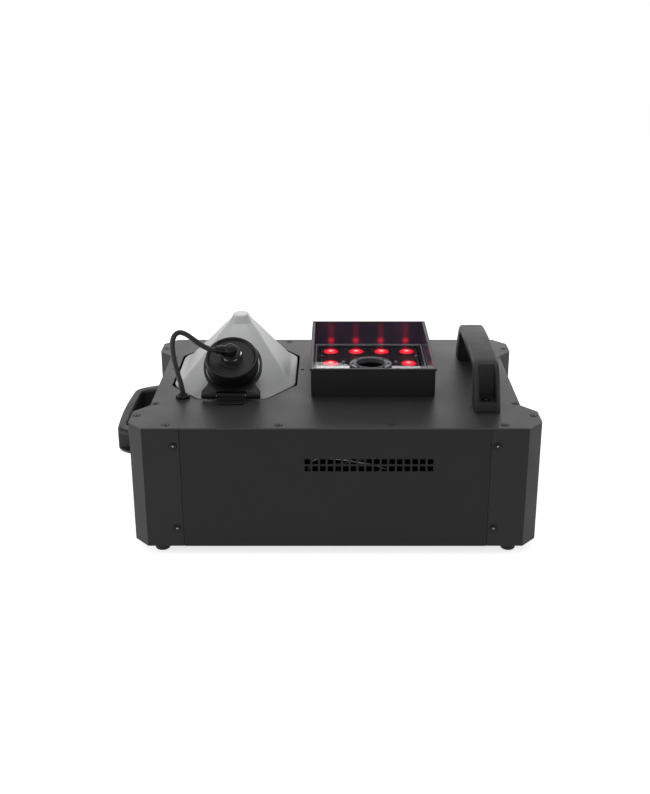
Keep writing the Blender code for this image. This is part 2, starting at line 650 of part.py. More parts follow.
# ---------------------------------------------------------------- inside the casing
def make_heater():
    """Cast block with its outlet under the nozzle, in an open cradle on the base."""
    low = (-0.0120, 0.0030, 0.0400)
    high = (0.0950, 0.0630, 0.0820)
    block = place("heater_block", box_mesh("heater_block", low, high), look=ALUMINIUM)
    soften(block, 0.0030)
    outlet = [(0.0014, 0.0823), (0.0014, 0.0980), (0.0040, 0.0980), (0.0060, 0.0940),
              (0.0085, 0.0935), (0.0085, 0.0823)]
    turned("heater_outlet", outlet, 24, True, location=(*NOZZLE, 0), look=BRASS)
    bottom = BASE_TOP + CLEARANCE
    y0, y1 = low[1] - 0.0020, high[1] + 0.0020
    section = [(y0, 0.0700), (y0, bottom), (y1, bottom), (y1, 0.0700), (y1 - 0.0015, 0.0700),
               (y1 - 0.0015, bottom + 0.0015), (y0 + 0.0015, bottom + 0.0015),
               (y0 + 0.0015, 0.0700)]
    place("heater_cradle", flat_mesh("heater_cradle", [section], 0, 0.0900),
          location=(-0.0030, 0, 0), rotation=FACING_RIGHT, look=STEEL)


PUMP_AT = (0.1240, -0.0950, 0.0380)


def make_pump():
    """Vibration pump: coil housing with a sliding plunger, on a bent bracket."""
    bottom = BASE_TOP + CLEARANCE
    x, y, z = PUMP_AT
    body = place("pump_body", box_mesh("pump_body", (x - 0.0200, y - 0.0170, z - 0.0170),
                                       (x + 0.0200, y + 0.0170, z + 0.0170)), look=BLACK_PLASTIC)
    spout = cylinder_mesh("spout", 0.0045, -0.0335, -0.0150, 20)
    join(body, place("pump_inlet", spout, location=PUMP_AT, rotation=(0, math.pi / 2, 0)))
    bore = cylinder_mesh("bore", 0.0056, -0.0050, 0.0300, 24)
    cut(body, place("pump_bore", bore, location=PUMP_AT, rotation=(0, math.pi / 2, 0)))
    plunger = cylinder_mesh("pump_plunger", 0.0052, -0.0030, 0.0240, 24)
    smooth(place("pump_plunger", plunger, location=PUMP_AT, rotation=(0, math.pi / 2, 0),
                 look=STEEL))
    wall = y + 0.0173
    bracket = [(y - 0.0150, bottom), (wall + 0.0015, bottom), (wall + 0.0015, 0.0500),
               (wall, 0.0500), (wall, bottom + 0.0015), (y - 0.0150, bottom + 0.0015)]
    place("pump_bracket", flat_mesh("pump_bracket", [bracket], -0.0180, 0.0180),
          location=(x, 0, 0), rotation=FACING_RIGHT, look=STEEL)


def make_pressure_pipe():
    """Copper pipe from the pump's outlet side up and over to the heater block."""
    x, y, z = PUMP_AT
    route = [(x - 0.0100, y, z + 0.0173), (x - 0.0100, y + 0.0020, z + 0.0300),
             (x - 0.0110, y + 0.0250, 0.0780), (x - 0.0130, 0.0000, 0.0780),
             (x - 0.0140, 0.0330, 0.0680), (x - 0.0210, 0.0330, 0.0620),
             (0.0954, 0.0330, 0.0620)]
    smooth(place("pressure_pipe", tube_mesh("pressure_pipe", smooth_route(route, 0.0080), 0.0020),
                 look=BRASS), 60)


def make_boards():
    power = rectangle(0.0200, 0.1000, 0.0200, 0.0780)
    place("power_board", flat_mesh("power_board", [power], 0, 0.0016),
          location=(0, -0.1360, 0), rotation=FACING_FRONT, look=BOARD_GREEN)
    x0, x1, z0, z1 = MENU_FACE
    menu = rectangle(x0 + 0.0020, x1 - 0.0020, z0 + 0.0070, z1 - 0.0070)
    place("control_board", flat_mesh("control_board", [menu], 0, 0.0016),
          location=(0, 0.1385, 0), rotation=FACING_FRONT, look=BOARD_GREEN)


FAN_AT = (-0.0100, 0.0700)      # along Y and Z, on the right side panel
FAN_HALF = 0.0300
FAN_FACE_X = RECESS_X - SHEET - CLEARANCE


def make_fan():
    """Axial fan against the slots of the right side panel. Local Z points to +X."""
    back = FAN_FACE_X - 0.0200
    seat = frame("fan_axis", (back, *FAN_AT), FACING_RIGHT, casing)
    outline = cut_rectangle(FAN_HALF, FAN_HALF, 0.0026, 0.0026)
    housing = place("fan_frame", flat_mesh("fan_frame", [outline, disc(0.0279, 0, 0, 32)],
                                           0, 0.0200), seat, look=BLACK_PLASTIC)
    join(housing, place("fan_motor", cylinder_mesh("fan_motor", 0.0120, 0.0004, 0.0035, 24), seat))
    for turn in range(3):
        strut = box_mesh("strut", (0.0100, -0.0012, 0.0008), (0.0290, 0.0012, 0.0030))
        join(housing, place("fan_strut", strut, seat, rotation=(0, 0, math.radians(120 * turn + 7))))
    hub = place("fan_rotor", cylinder_mesh("fan_rotor", 0.0115, 0.0045, 0.0175, 24), seat,
                look=BLACK_PLASTIC)
    for turn in range(7):
        blade = box_mesh("blade", (0.0090, -0.0075, -0.0006), (0.0262, 0.0075, 0.0006))
        blade.transform(Matrix.Rotation(math.radians(32), 4, 'X'))
        join(hub, place("fan_blade", blade, seat, (0, 0, 0.0110),
                        (0, 0, math.radians(360 / 7 * turn))))


# ---------------------------------------------------------------- rear controls
# faces and cut-outs on the rear panel: x0, x1, z0, z1
MENU_FACE = (-0.0250, 0.0950, 0.0820, 0.1280)
MENU_CUTOUT = (-0.0200, 0.0900, 0.0870, 0.1230)
DISPLAY = (-0.0160, 0.0340, 0.0940, 0.1160)
BUTTONS_X = (0.0450, 0.0570, 0.0690, 0.0810)
BUTTONS_Z = 0.1050
BUTTON_R = 0.0038
INLET_CUTOUT = (0.1115, 0.1385, 0.0370, 0.0570)
SWITCH_CUTOUT = (0.1120, 0.1380, 0.0930, 0.1150)
FUSE_AT = (0.0850, 0.0470)
FUSE_BODY_R = 0.0070
SIGNAL_IN_AT = (-0.0050, 0.0470)
SIGNAL_OUT_AT = (0.0350, 0.0470)
SOCKET_BODY_R = 0.0115


def on_rear(name, loops, low, high, **words):
    """Flat outline in X and Z, standing from low to high behind the rear panel's face."""
    return place(name, flat_mesh(name, loops, -high, -low), location=(0, REAR_Y, 0),
                 rotation=FACING_FRONT, **words)


def make_menu():
    holes = [disc(BUTTON_R + 0.0004, x, BUTTONS_Z, 16) for x in BUTTONS_X]
    on_rear("menu_face", [rectangle(*MENU_FACE), rectangle(*DISPLAY), *holes],
                   0, 0.0025, look=BLACK_PLASTIC)
    glass = inset(rectangle(*DISPLAY), CLEARANCE)
    on_rear("display_window", [glass], -0.0020, 0.0020, look=((0.01, 0.02, 0.04), 0.10))
    profile = [(0, 0.0055), (0.0030, 0.0055), (BUTTON_R, 0.0047), (BUTTON_R, -0.0030),
               (0, -0.0030)]
    for number, x in enumerate(BUTTONS_X, 1):
        turned(f"menu_button_{number}", profile, 16, location=(x, REAR_Y, BUTTONS_Z),
               rotation=FACING_BACK, look=SOFT_BLACK)


def make_power():
    """Mains inlet, rocker switch and fuse, one above another at the right end."""
    x0, x1, z0, z1 = INLET_CUTOUT
    shell = inset(rectangle(*INLET_CUTOUT), CLEARANCE)
    inlet = on_rear("mains_inlet", [shell], -0.0200, 0.0010, look=BLACK_PLASTIC)
    flange = rectangle(x0 - 0.0110, x1 + 0.0110, z0 - 0.0030, z1 + 0.0030)
    join(inlet, on_rear("inlet_flange", [flange], 0, 0.0030))
    socket = inset(shell, 0.0025)
    cut(inlet, on_rear("inlet_socket", [socket], -0.0165, 0.0100))
    middle = (x0 + x1) / 2
    for x, z in ((middle - 0.0070, 0.0445), (middle, 0.0495), (middle + 0.0070, 0.0445)):
        blade = rectangle(x - 0.0010, x + 0.0010, z - 0.0020, z + 0.0020)
        join(inlet, on_rear("inlet_blade", [blade], -0.0180, -0.0020))

    x0, x1, z0, z1 = SWITCH_CUTOUT
    shell = inset(rectangle(*SWITCH_CUTOUT), CLEARANCE)
    housing = on_rear("switch_housing", [shell], -0.0160, 0.0010, look=BLACK_PLASTIC)
    flange = rectangle(x0 - 0.0020, x1 + 0.0020, z0 - 0.0020, z1 + 0.0020)
    join(housing, on_rear("switch_flange", [flange], 0, 0.0020))
    cut(housing, on_rear("switch_well", [inset(shell, 0.0018)], -0.0120, 0.0100))
    half = (z1 - z0) / 2 - 0.0018 - 0.0016
    rocker = [(-half, -0.0030), (half, -0.0030), (half, 0.0030), (0.0020, 0.0010),
              (-0.0020, 0.0010), (-half, 0.0030)]
    width = (x1 - x0) / 2 - 0.0018 - 0.0008
    mesh = flat_mesh("power_rocker", [rocker], -width, width)
    mesh.transform(Matrix.Rotation(math.pi / 2, 4, 'Y') @ Matrix.Rotation(math.pi / 2, 4, 'Z'))
    soften(place("power_rocker", mesh, location=((x0 + x1) / 2, REAR_Y, (z0 + z1) / 2),
                 rotation=(math.radians(-8), 0, 0), look=SOFT_BLACK), 0.0006)

    body = [(0.0052, -0.0180), (0.0052, 0.0022), (0.0085, 0.0022), (0.0088, 0.0019),
            (0.0088, 0), (FUSE_BODY_R, 0), (FUSE_BODY_R, -0.0180)]
    turned("fuse_holder", body, 24, True, location=(FUSE_AT[0], REAR_Y, FUSE_AT[1]),
           rotation=FACING_BACK, look=BLACK_PLASTIC)
    cap_end = 0.0097
    cap = turned("fuse_cap", [(0, cap_end), (0.0058, cap_end), (0.0064, cap_end - 0.0006),
                              (0.0064, 0.0025), (0.0048, 0.0025), (0.0048, -0.0120),
                              (0, -0.0120)], 24,
                 location=(FUSE_AT[0], REAR_Y, FUSE_AT[1]), rotation=FACING_BACK,
                 look=BLACK_PLASTIC)
    slot = box_mesh("slot", (-0.0050, -0.0007, cap_end - 0.0018), (0.0050, 0.0007, 0.0200))
    cut(cap, place("fuse_slot", slot, location=(FUSE_AT[0], REAR_Y, FUSE_AT[1]),
                   rotation=FACING_BACK))


def signal_flange(name, at):
    """Three-pole panel socket: flange and body, before its mouth is cut."""
    x, z = at
    made = on_rear(name, [disc(SOCKET_BODY_R, x, z, 28)], -0.0200, 0.0008, look=BLACK_PLASTIC)
    plate = cut_rectangle(0.0130, 0.0155, 0.0025, 0.0025, x, z)
    return join(made, on_rear(f"{name}_flange", [plate], 0, 0.0020))


def pin_places(x, z, radius=0.0045):
    return [(x + radius * math.cos(math.radians(a)), z + radius * math.sin(math.radians(a)))
            for a in (210, 330, 90)]


def make_signal_sockets():
    x, z = SIGNAL_IN_AT
    plug_side = signal_flange("signal_in_socket", SIGNAL_IN_AT)
    cut(plug_side, on_rear("signal_in_mouth", [disc(0.0098, x, z, 20)], -0.0160, 0.0100))
    for px, pz in pin_places(x, z):
        join(plug_side, on_rear("signal_pin", [disc(0.0012, px, pz, 8)], -0.0175, -0.0025))

    x, z = SIGNAL_OUT_AT
    jack_side = signal_flange("signal_out_socket", SIGNAL_OUT_AT)
    for px, pz in pin_places(x, z):
        cut(jack_side, on_rear("signal_hole", [disc(0.0014, px, pz, 8)], -0.0120, 0.0100))
    latch_hole = rectangle(x - 0.0029, x + 0.0029, z + 0.0070, z + 0.0104)
    cut(jack_side, on_rear("latch_hole", [latch_hole], -0.0060, 0.0100))
    tab = inset(latch_hole, 0.0004)
    soften(on_rear("signal_latch", [tab], -0.0035, 0.0035, look=SOFT_BLACK), 0.0004)


make_base()
make_corner_posts()
make_panels()
make_top_plate()
make_handles()
make_hood()
make_light()
make_nozzle()
make_tank()
make_cap()
make_cap_fitting()
make_collar()
make_hose()
make_heater()
make_pump()
make_pressure_pipe()
make_boards()
make_fan()
make_menu()
make_power()
make_signal_sockets()
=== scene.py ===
"""Looks for the fog machine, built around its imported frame.

Metres, +Z up. The vented front faces -Y and the controls face +Y. Most pieces are drawn in the
casing's own coordinates, whose origin is BODY_CENTRE in the row frame.
"""

import math

import bmesh
import bpy
from mathutils import Matrix, Vector


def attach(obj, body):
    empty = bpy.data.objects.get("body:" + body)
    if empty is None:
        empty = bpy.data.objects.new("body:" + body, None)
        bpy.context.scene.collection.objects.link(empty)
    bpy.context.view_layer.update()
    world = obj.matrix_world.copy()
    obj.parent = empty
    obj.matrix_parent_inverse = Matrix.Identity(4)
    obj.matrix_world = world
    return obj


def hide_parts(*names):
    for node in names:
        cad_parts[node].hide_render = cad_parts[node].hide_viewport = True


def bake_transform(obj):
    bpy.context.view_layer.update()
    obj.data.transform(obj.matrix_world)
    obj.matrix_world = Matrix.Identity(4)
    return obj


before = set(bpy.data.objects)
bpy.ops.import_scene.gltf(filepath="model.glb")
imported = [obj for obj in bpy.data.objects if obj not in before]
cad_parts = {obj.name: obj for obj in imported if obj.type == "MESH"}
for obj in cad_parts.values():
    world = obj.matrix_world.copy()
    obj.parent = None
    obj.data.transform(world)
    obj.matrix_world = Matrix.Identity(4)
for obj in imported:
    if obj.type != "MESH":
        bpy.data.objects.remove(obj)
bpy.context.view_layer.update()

# ---------------------------------------------------------------- driving dimensions
BODY_CENTRE = Vector((0.0150, -0.0050, 0.0))
HALF_DEPTH = 0.150
RECESS_X = 0.2005
PLATE_TOP = 0.146
CLEARANCE = 0.0003

HOOD_X = (-0.0268, 0.1100)
HOOD_Y = (-0.0566, 0.1224)
HOOD_TOP = 0.1785
HOOD_SHEET = 0.0016
WINDOW_TOP = 0.1493

NOZZLE = (0.0416, 0.0330)
NOZZLE_R = 0.0170
LED_COLUMNS = (-0.0053, 0.0257, 0.0569, 0.0879)
LED_ROWS = (-0.0330, 0.0110, 0.0550, 0.0990)
LENS_R = 0.0095

TANK_X = -0.1143
NECK_CENTRE = (TANK_X, -0.0353, 0.1720)
NECK_TILT = math.radians(33.5)
HINGE_REACH = 0.03845
KNUCKLE_R = 0.0033
ELBOW_OUTLET = 0.0325
HOSE_R = 0.0029
GLAND = (-0.1680, -0.0600)
TOP_HANDLE = (0.1620, -0.0060)
SIDE_HANDLE_Z = 0.0970
HANDLE_WIDTH = 0.0280
REAR_Y = HALF_DEPTH + CLEARANCE
MENU_Z = 0.1050
BUTTONS_X = (0.0450, 0.0570, 0.0690, 0.0810)
POST_SCREWS_X, POST_SCREWS_Z = 0.168, (0.0315, 0.126)

BODY = Matrix.Translation(BODY_CENTRE)
NECK = BODY @ Matrix.Translation(NECK_CENTRE) @ Matrix.Rotation(NECK_TILT, 4, 'X')
FACING_FRONT = Matrix.Rotation(math.pi / 2, 4, 'X')      # local Z points to -Y
FACING_BACK = Matrix.Rotation(-math.pi / 2, 4, 'X')      # local Z points to +Y
FACING_RIGHT = Matrix.Rotation(math.pi / 2, 4, 'Z') @ FACING_FRONT   # local Z points to +X


# ---------------------------------------------------------------- materials
def node(tree, kind, **settings):
    made = tree.nodes.new(kind)
    for key, value in settings.items():
        setattr(made, key, value)
    return made


def surface(name, colour, roughness, metallic=0.0, grain=None, mottle=None, spread=0.0,
            stretch=(1, 1, 1), specular=0.5, coat=0.0, emission=None):
    """Principled material with fine grain in its bump and slow variation in its colour.

    grain is (cells per metre, depth in metres); mottle is (cells per metre, share of the
    colour); spread is how far the roughness varies either way."""
    made = bpy.data.materials.new(name)
    made.use_nodes = True
    tree = made.node_tree
    shader = tree.nodes["Principled BSDF"]
    shader.inputs["Base Color"].default_value = (*colour, 1.0)
    shader.inputs["Roughness"].default_value = roughness
    shader.inputs["Metallic"].default_value = metallic
    shader.inputs["Specular IOR Level"].default_value = specular
    shader.inputs["Coat Weight"].default_value = coat
    if emission:
        shader.inputs["Emission Color"].default_value = (*emission[0], 1.0)
        shader.inputs["Emission Strength"].default_value = emission[1]
    place = node(tree, "ShaderNodeTexCoord")
    scaled = node(tree, "ShaderNodeMapping")
    scaled.inputs["Scale"].default_value = stretch
    tree.links.new(place.outputs["Object"], scaled.inputs["Vector"])
    if mottle:
        noise = node(tree, "ShaderNodeTexNoise")
        noise.inputs["Scale"].default_value = mottle[0]
        noise.inputs["Detail"].default_value = 4.0
        tree.links.new(scaled.outputs["Vector"], noise.inputs["Vector"])
        blend = node(tree, "ShaderNodeMix", data_type='RGBA')
        blend.inputs["A"].default_value = (*[c * (1 - mottle[1]) for c in colour], 1.0)
        blend.inputs["B"].default_value = (*[min(1, c * (1 + mottle[1])) for c in colour], 1.0)
        tree.links.new(noise.outputs["Fac"], blend.inputs["Factor"])
        tree.links.new(blend.outputs["Result"], shader.inputs["Base Color"])
        if spread:
            vary = node(tree, "ShaderNodeMapRange")
            vary.inputs["From Min"].default_value = 0.3
            vary.inputs["From Max"].default_value = 0.7
            vary.inputs["To Min"].default_value = roughness - spread
            vary.inputs["To Max"].default_value = roughness + spread
            tree.links.new(noise.outputs["Fac"], vary.inputs["Value"])
            tree.links.new(vary.outputs["Result"], shader.inputs["Roughness"])
    if grain:
        fine = node(tree, "ShaderNodeTexNoise")
        fine.inputs["Scale"].default_value = grain[0]
        fine.inputs["Detail"].default_value = 2.0
        bump = node(tree, "ShaderNodeBump")
        bump.inputs["Distance"].default_value = grain[1]
        tree.links.new(scaled.outputs["Vector"], fine.inputs["Vector"])
        tree.links.new(fine.outputs["Fac"], bump.inputs["Height"])
        tree.links.new(bump.outputs["Normal"], shader.inputs["Normal"])
    return made


POWDER = surface("powder_coat", (0.028, 0.0285, 0.0295), 0.42, grain=(1500, 0.00003),
                 mottle=(35, 0.10), spread=0.05, specular=0.17)
POST_POWDER = surface("powder_coat_posts", (0.040, 0.0405, 0.0415), 0.44, grain=(1500, 0.00003),
                      mottle=(35, 0.10), spread=0.05, specular=0.17)
TOP_POWDER = surface("powder_coat_top", (0.024, 0.0245, 0.0255), 0.47, grain=(1500, 0.00004),
                     mottle=(25, 0.10), spread=0.03, specular=0.5)
HANDLE_PLASTIC = surface("handle_plastic", (0.026, 0.026, 0.027), 0.52, grain=(2200, 0.00005),
                         mottle=(60, 0.12), spread=0.04, specular=0.35)
BLACK_PLASTIC = surface("black_plastic", (0.010, 0.010, 0.0105), 0.38, grain=(1800, 0.00003),
                        mottle=(80, 0.15), spread=0.05, specular=0.3)
# painted shade: near-black for the shaded rings round screw heads and their cross recesses
PAINTED_GAP_SHADE = surface("painted_gap_shade", (0.002, 0.002, 0.002), 0.8, mottle=(400, 0.3))
SCREW_BLACK = surface("black_screw", (0.03, 0.03, 0.032), 0.30, metallic=0.6,
                      grain=(3000, 0.00002), mottle=(300, 0.2), spread=0.06)
RUBBER = surface("rubber", (0.013, 0.013, 0.013), 0.75, grain=(2500, 0.00006),
                 mottle=(200, 0.2), spread=0.05)
HOSE_BLACK = surface("hose", (0.016, 0.016, 0.017), 0.42, grain=(900, 0.00004),
                     mottle=(120, 0.2), spread=0.06)
NICKEL = surface("nickel", (0.72, 0.71, 0.70), 0.16, metallic=1.0, grain=(700, 0.00002),
                 mottle=(250, 0.08), spread=0.05)
ZINC = surface("zinc_steel", (0.60, 0.60, 0.62), 0.34, metallic=1.0, grain=(1200, 0.00003),
               mottle=(140, 0.12), spread=0.08)
BRASS = surface("brass", (0.72, 0.52, 0.24), 0.28, metallic=1.0, grain=(1500, 0.00003),
                mottle=(120, 0.12), spread=0.06)
CAST = surface("cast_aluminium", (0.66, 0.67, 0.68), 0.48, metallic=1.0, grain=(600, 0.0002),
               mottle=(90, 0.15), spread=0.08)
SILICONE = surface("silicone", (0.72, 0.72, 0.69), 0.40, grain=(900, 0.00003),
                   mottle=(60, 0.06))
BOARD_GREEN = surface("board_green", (0.015, 0.12, 0.05), 0.40, grain=(900, 0.00005),
                      mottle=(300, 0.35), spread=0.08)
BOARD_BLACK = surface("board_black", (0.010, 0.010, 0.012), 0.45, grain=(1200, 0.00003),
                      mottle=(150, 0.3), spread=0.06)
# painted highlight: light lilac-grey for the glints along the window's polished edges
WINDOW_EDGE_HIGHLIGHT = surface("window_edge_highlight", (0.42, 0.42, 0.50), 0.28, grain=(700, 0.00002), mottle=(90, 0.15))
RING_GREY = surface("nozzle_ring", (0.16, 0.16, 0.175), 0.32, grain=(900, 0.00003),
                    mottle=(90, 0.15), spread=0.05)
DISPLAY = surface("display_glass", (0.006, 0.009, 0.014), 0.06, mottle=(40, 0.1), coat=0.4)
BUTTON = surface("button_rubber", (0.06, 0.06, 0.064), 0.58, grain=(1800, 0.00004),
                 mottle=(200, 0.15), spread=0.05)
LEGEND = surface("legend_grey", (0.55, 0.55, 0.55), 0.55, mottle=(300, 0.08))
SEGMENT = surface("display_segment", (0.2, 0.6, 0.9), 0.5, mottle=(300, 0.05),
                  emission=((0.25, 0.75, 1.0), 1.6))
SOCKET = surface("socket_nickel", (0.34, 0.34, 0.35), 0.34, metallic=0.9, grain=(1500, 0.00003),
                 mottle=(120, 0.12), spread=0.06)


def tank_material():
    """Milky polyethylene with painted shade: darker low down and paler high up, for light through
    the wall.
    """
    made = surface("milky_tank_painted_shade", (0.60, 0.61, 0.61), 0.36, grain=(420, 0.00008), spread=0.03)
    tree = made.node_tree
    shader = tree.nodes["Principled BSDF"]
    shader.inputs["Subsurface Weight"].default_value = 0.35
    shader.inputs["Subsurface Radius"].default_value = (1.0, 1.0, 1.0)
    shader.inputs["Subsurface Scale"].default_value = 0.008
    place = node(tree, "ShaderNodeTexCoord")
    split = node(tree, "ShaderNodeSeparateXYZ")
    tree.links.new(place.outputs["Object"], split.inputs["Vector"])
    noise = node(tree, "ShaderNodeTexNoise")
    noise.inputs["Scale"].default_value = 22.0
    tree.links.new(place.outputs["Object"], noise.inputs["Vector"])
    lift = node(tree, "ShaderNodeMath", operation='MULTIPLY_ADD')
    lift.inputs[1].default_value = 0.012
    tree.links.new(noise.outputs["Fac"], lift.inputs[0])
    tree.links.new(split.outputs["Z"], lift.inputs[2])
    height = node(tree, "ShaderNodeMapRange")
    height.inputs["From Min"].default_value = 0.150
    height.inputs["From Max"].default_value = 0.206
    tree.links.new(lift.outputs["Value"], height.inputs["Value"])
    # painted shade: the ramp darkens the tank low down and pales it high up, for light through the
    # wall
    ramp = node(tree, "ShaderNodeValToRGB")
    ramp.color_ramp.elements[0].color = (0.36, 0.365, 0.365, 1)
    ramp.color_ramp.elements[1].color = (0.66, 0.67, 0.67, 1)
    tree.links.new(height.outputs["Result"], ramp.inputs["Fac"])
    tree.links.new(ramp.outputs["Color"], shader.inputs["Base Color"])
    return made


def liner_material():
    """Glossy liner of the hood. Its red streaks are an emission pattern above each lamp column
    that stands in for the lamps' reflections: painted reflection. Elsewhere a faint purple
    emission is a painted tint of the lamps' light."""
    made = surface("hood_liner", (0.030, 0.031, 0.042), 0.20, mottle=(50, 0.2), spread=0.04,
                   grain=(900, 0.00002), specular=0.6)
    tree = made.node_tree
    shader = tree.nodes["Principled BSDF"]
    place = node(tree, "ShaderNodeTexCoord")
    split = node(tree, "ShaderNodeSeparateXYZ")
    tree.links.new(place.outputs["Object"], split.inputs["Vector"])
    # distance in X from the nearest lamp column
    pitch = LED_COLUMNS[1] - LED_COLUMNS[0]
    shifted = node(tree, "ShaderNodeMath", operation='SUBTRACT')
    shifted.inputs[1].default_value = BODY_CENTRE.x + LED_COLUMNS[0]
    tree.links.new(split.outputs["X"], shifted.inputs[0])
    near = node(tree, "ShaderNodeMath", operation='PINGPONG')
    near.inputs[1].default_value = pitch / 2
    tree.links.new(shifted.outputs["Value"], near.inputs[0])
    streak = node(tree, "ShaderNodeMapRange", interpolation_type='SMOOTHERSTEP')
    streak.inputs["From Min"].default_value = 0.0060
    streak.inputs["From Max"].default_value = 0.0
    tree.links.new(near.outputs["Value"], streak.inputs["Value"])
    climb = node(tree, "ShaderNodeValToRGB")
    stops = climb.color_ramp
    stops.elements[0].color = (0.30, 0.30, 0.30, 1)
    stops.elements[1].color = (0.05, 0.05, 0.05, 1)
    for position, value in ((0.20, 0.9), (0.34, 0.14), (0.7, 0.12)):
        stops.elements.new(position).color = (value, value, value, 1)
    rise = node(tree, "ShaderNodeMapRange")
    rise.inputs["From Min"].default_value = WINDOW_TOP
    rise.inputs["From Max"].default_value = HOOD_TOP
    tree.links.new(split.outputs["Z"], rise.inputs["Value"])
    tree.links.new(rise.outputs["Result"], climb.inputs["Fac"])
    strength = node(tree, "ShaderNodeMath", operation='MULTIPLY')
    tree.links.new(streak.outputs["Result"], strength.inputs[0])
    tree.links.new(climb.outputs["Color"], strength.inputs[1])
    # painted reflection: faint purple over the whole liner, red in the streaks above the lamp
    # columns
    painted_reflection = node(tree, "ShaderNodeMix", data_type='RGBA')
    painted_reflection.inputs["A"].default_value = (0.020, 0.010, 0.022, 1)
    painted_reflection.inputs["B"].default_value = (1.0, 0.02, 0.06, 1)
    tree.links.new(strength.outputs["Value"], painted_reflection.inputs["Factor"])
    tree.links.new(painted_reflection.outputs["Result"], shader.inputs["Emission Color"])
    shader.inputs["Emission Strength"].default_value = 0.5
    return made


def window_material():
    made = surface("clear_window", (0.97, 0.975, 0.98), 0.02, specular=0.5)
    shader = made.node_tree.nodes["Principled BSDF"]
    shader.inputs["Transmission Weight"].default_value = 1.0
    shader.inputs["IOR"].default_value = 1.46
    return made


def lens_material():
    """Lit lens: a pale core and a red body that darkens to its rim, around the object's axis."""
    made = bpy.data.materials.new("lit_lens")
    made.use_nodes = True
    tree = made.node_tree
    shader = tree.nodes["Principled BSDF"]
    shader.inputs["Base Color"].default_value = (0.55, 0.02, 0.03, 1)
    shader.inputs["Roughness"].default_value = 0.12
    place = node(tree, "ShaderNodeTexCoord")
    split = node(tree, "ShaderNodeSeparateXYZ")
    flat = node(tree, "ShaderNodeCombineXYZ")
    tree.links.new(place.outputs["Object"], split.inputs["Vector"])
    noise = node(tree, "ShaderNodeTexNoise")
    noise.inputs["Scale"].default_value = 420.0
    tree.links.new(place.outputs["Object"], noise.inputs["Vector"])
    for axis in "XY":
        tree.links.new(split.outputs[axis], flat.inputs[axis])
    reach = node(tree, "ShaderNodeVectorMath", operation='LENGTH')
    tree.links.new(flat.outputs["Vector"], reach.inputs[0])
    wobble = node(tree, "ShaderNodeMath", operation='MULTIPLY_ADD')
    wobble.inputs[1].default_value = 0.0030
    tree.links.new(noise.outputs["Fac"], wobble.inputs[0])
    tree.links.new(reach.outputs["Value"], wobble.inputs[2])
    share = node(tree, "ShaderNodeMapRange")
    share.inputs["From Min"].default_value = 0.0015
    share.inputs["From Max"].default_value = LENS_R + 0.0015
    tree.links.new(wobble.outputs["Value"], share.inputs["Value"])
    ramp = node(tree, "ShaderNodeValToRGB")
    stops = ramp.color_ramp
    stops.elements[0].color = (1.0, 0.62, 0.60, 1)
    stops.elements[1].position = 1.0
    stops.elements[1].color = (0.10, 0.0, 0.002, 1)
    for position, colour in ((0.16, (1.0, 0.36, 0.36, 1)), (0.34, (1.0, 0.035, 0.05, 1)),
                             (0.66, (0.75, 0.008, 0.02, 1)), (0.86, (0.42, 0.0, 0.008, 1))):
        stops.elements.new(position).color = colour
    tree.links.new(share.outputs["Result"], ramp.inputs["Fac"])
    tree.links.new(ramp.outputs["Color"], shader.inputs["Emission Color"])
    shader.inputs["Emission Strength"].default_value = 2.2
    return made


MILKY_WITH_PAINTED_SHADE = tank_material()
CLEAR = window_material()
LINER_BLACK = liner_material()
LIT_LENS = lens_material()


# ---------------------------------------------------------------- mesh helpers
def extruded(loops, low, high):
    """Outline with holes in XY, filled and extruded from low to high along Z."""
    curve = bpy.data.curves.new("outline", 'CURVE')
    curve.dimensions = '2D'
    curve.fill_mode = 'BOTH'
    curve.extrude = (high - low) / 2
    for loop in loops:
        spline = curve.splines.new('POLY')
        spline.points.add(len(loop) - 1)
        for point, (x, y) in zip(spline.points, loop):
            point.co = (x, y, 0, 1)
        spline.use_cyclic_u = True
    mesh = meshed(bpy.data.objects.new("outline", curve))
    mesh.transform(Matrix.Translation((0, 0, (low + high) / 2)))
    return mesh


def meshed(source):
    """The evaluated mesh of an object, welded; the object is removed."""
    bpy.context.scene.collection.objects.link(source)
    bpy.context.view_layer.update()
    view = bpy.context.evaluated_depsgraph_get()
    mesh = bpy.data.meshes.new_from_object(source.evaluated_get(view))
    bpy.data.objects.remove(source, do_unlink=True)
    shape = bmesh.new()
    shape.from_mesh(mesh)
    bmesh.ops.remove_doubles(shape, verts=shape.verts, dist=0.000005)
    bmesh.ops.recalc_face_normals(shape, faces=shape.faces)
    shape.to_mesh(mesh)
    shape.free()
    return mesh


def tube(points, radius, resolution=4):
    curve = bpy.data.curves.new("tube", 'CURVE')
    curve.dimensions = '3D'
    curve.bevel_depth = radius
    curve.bevel_resolution = resolution
    curve.use_fill_caps = True
    spline = curve.splines.new('POLY')
    spline.points.add(len(points) - 1)
    for target, point in zip(spline.points, points):
        target.co = (*point, 1)
    return meshed(bpy.data.objects.new("tube", curve))


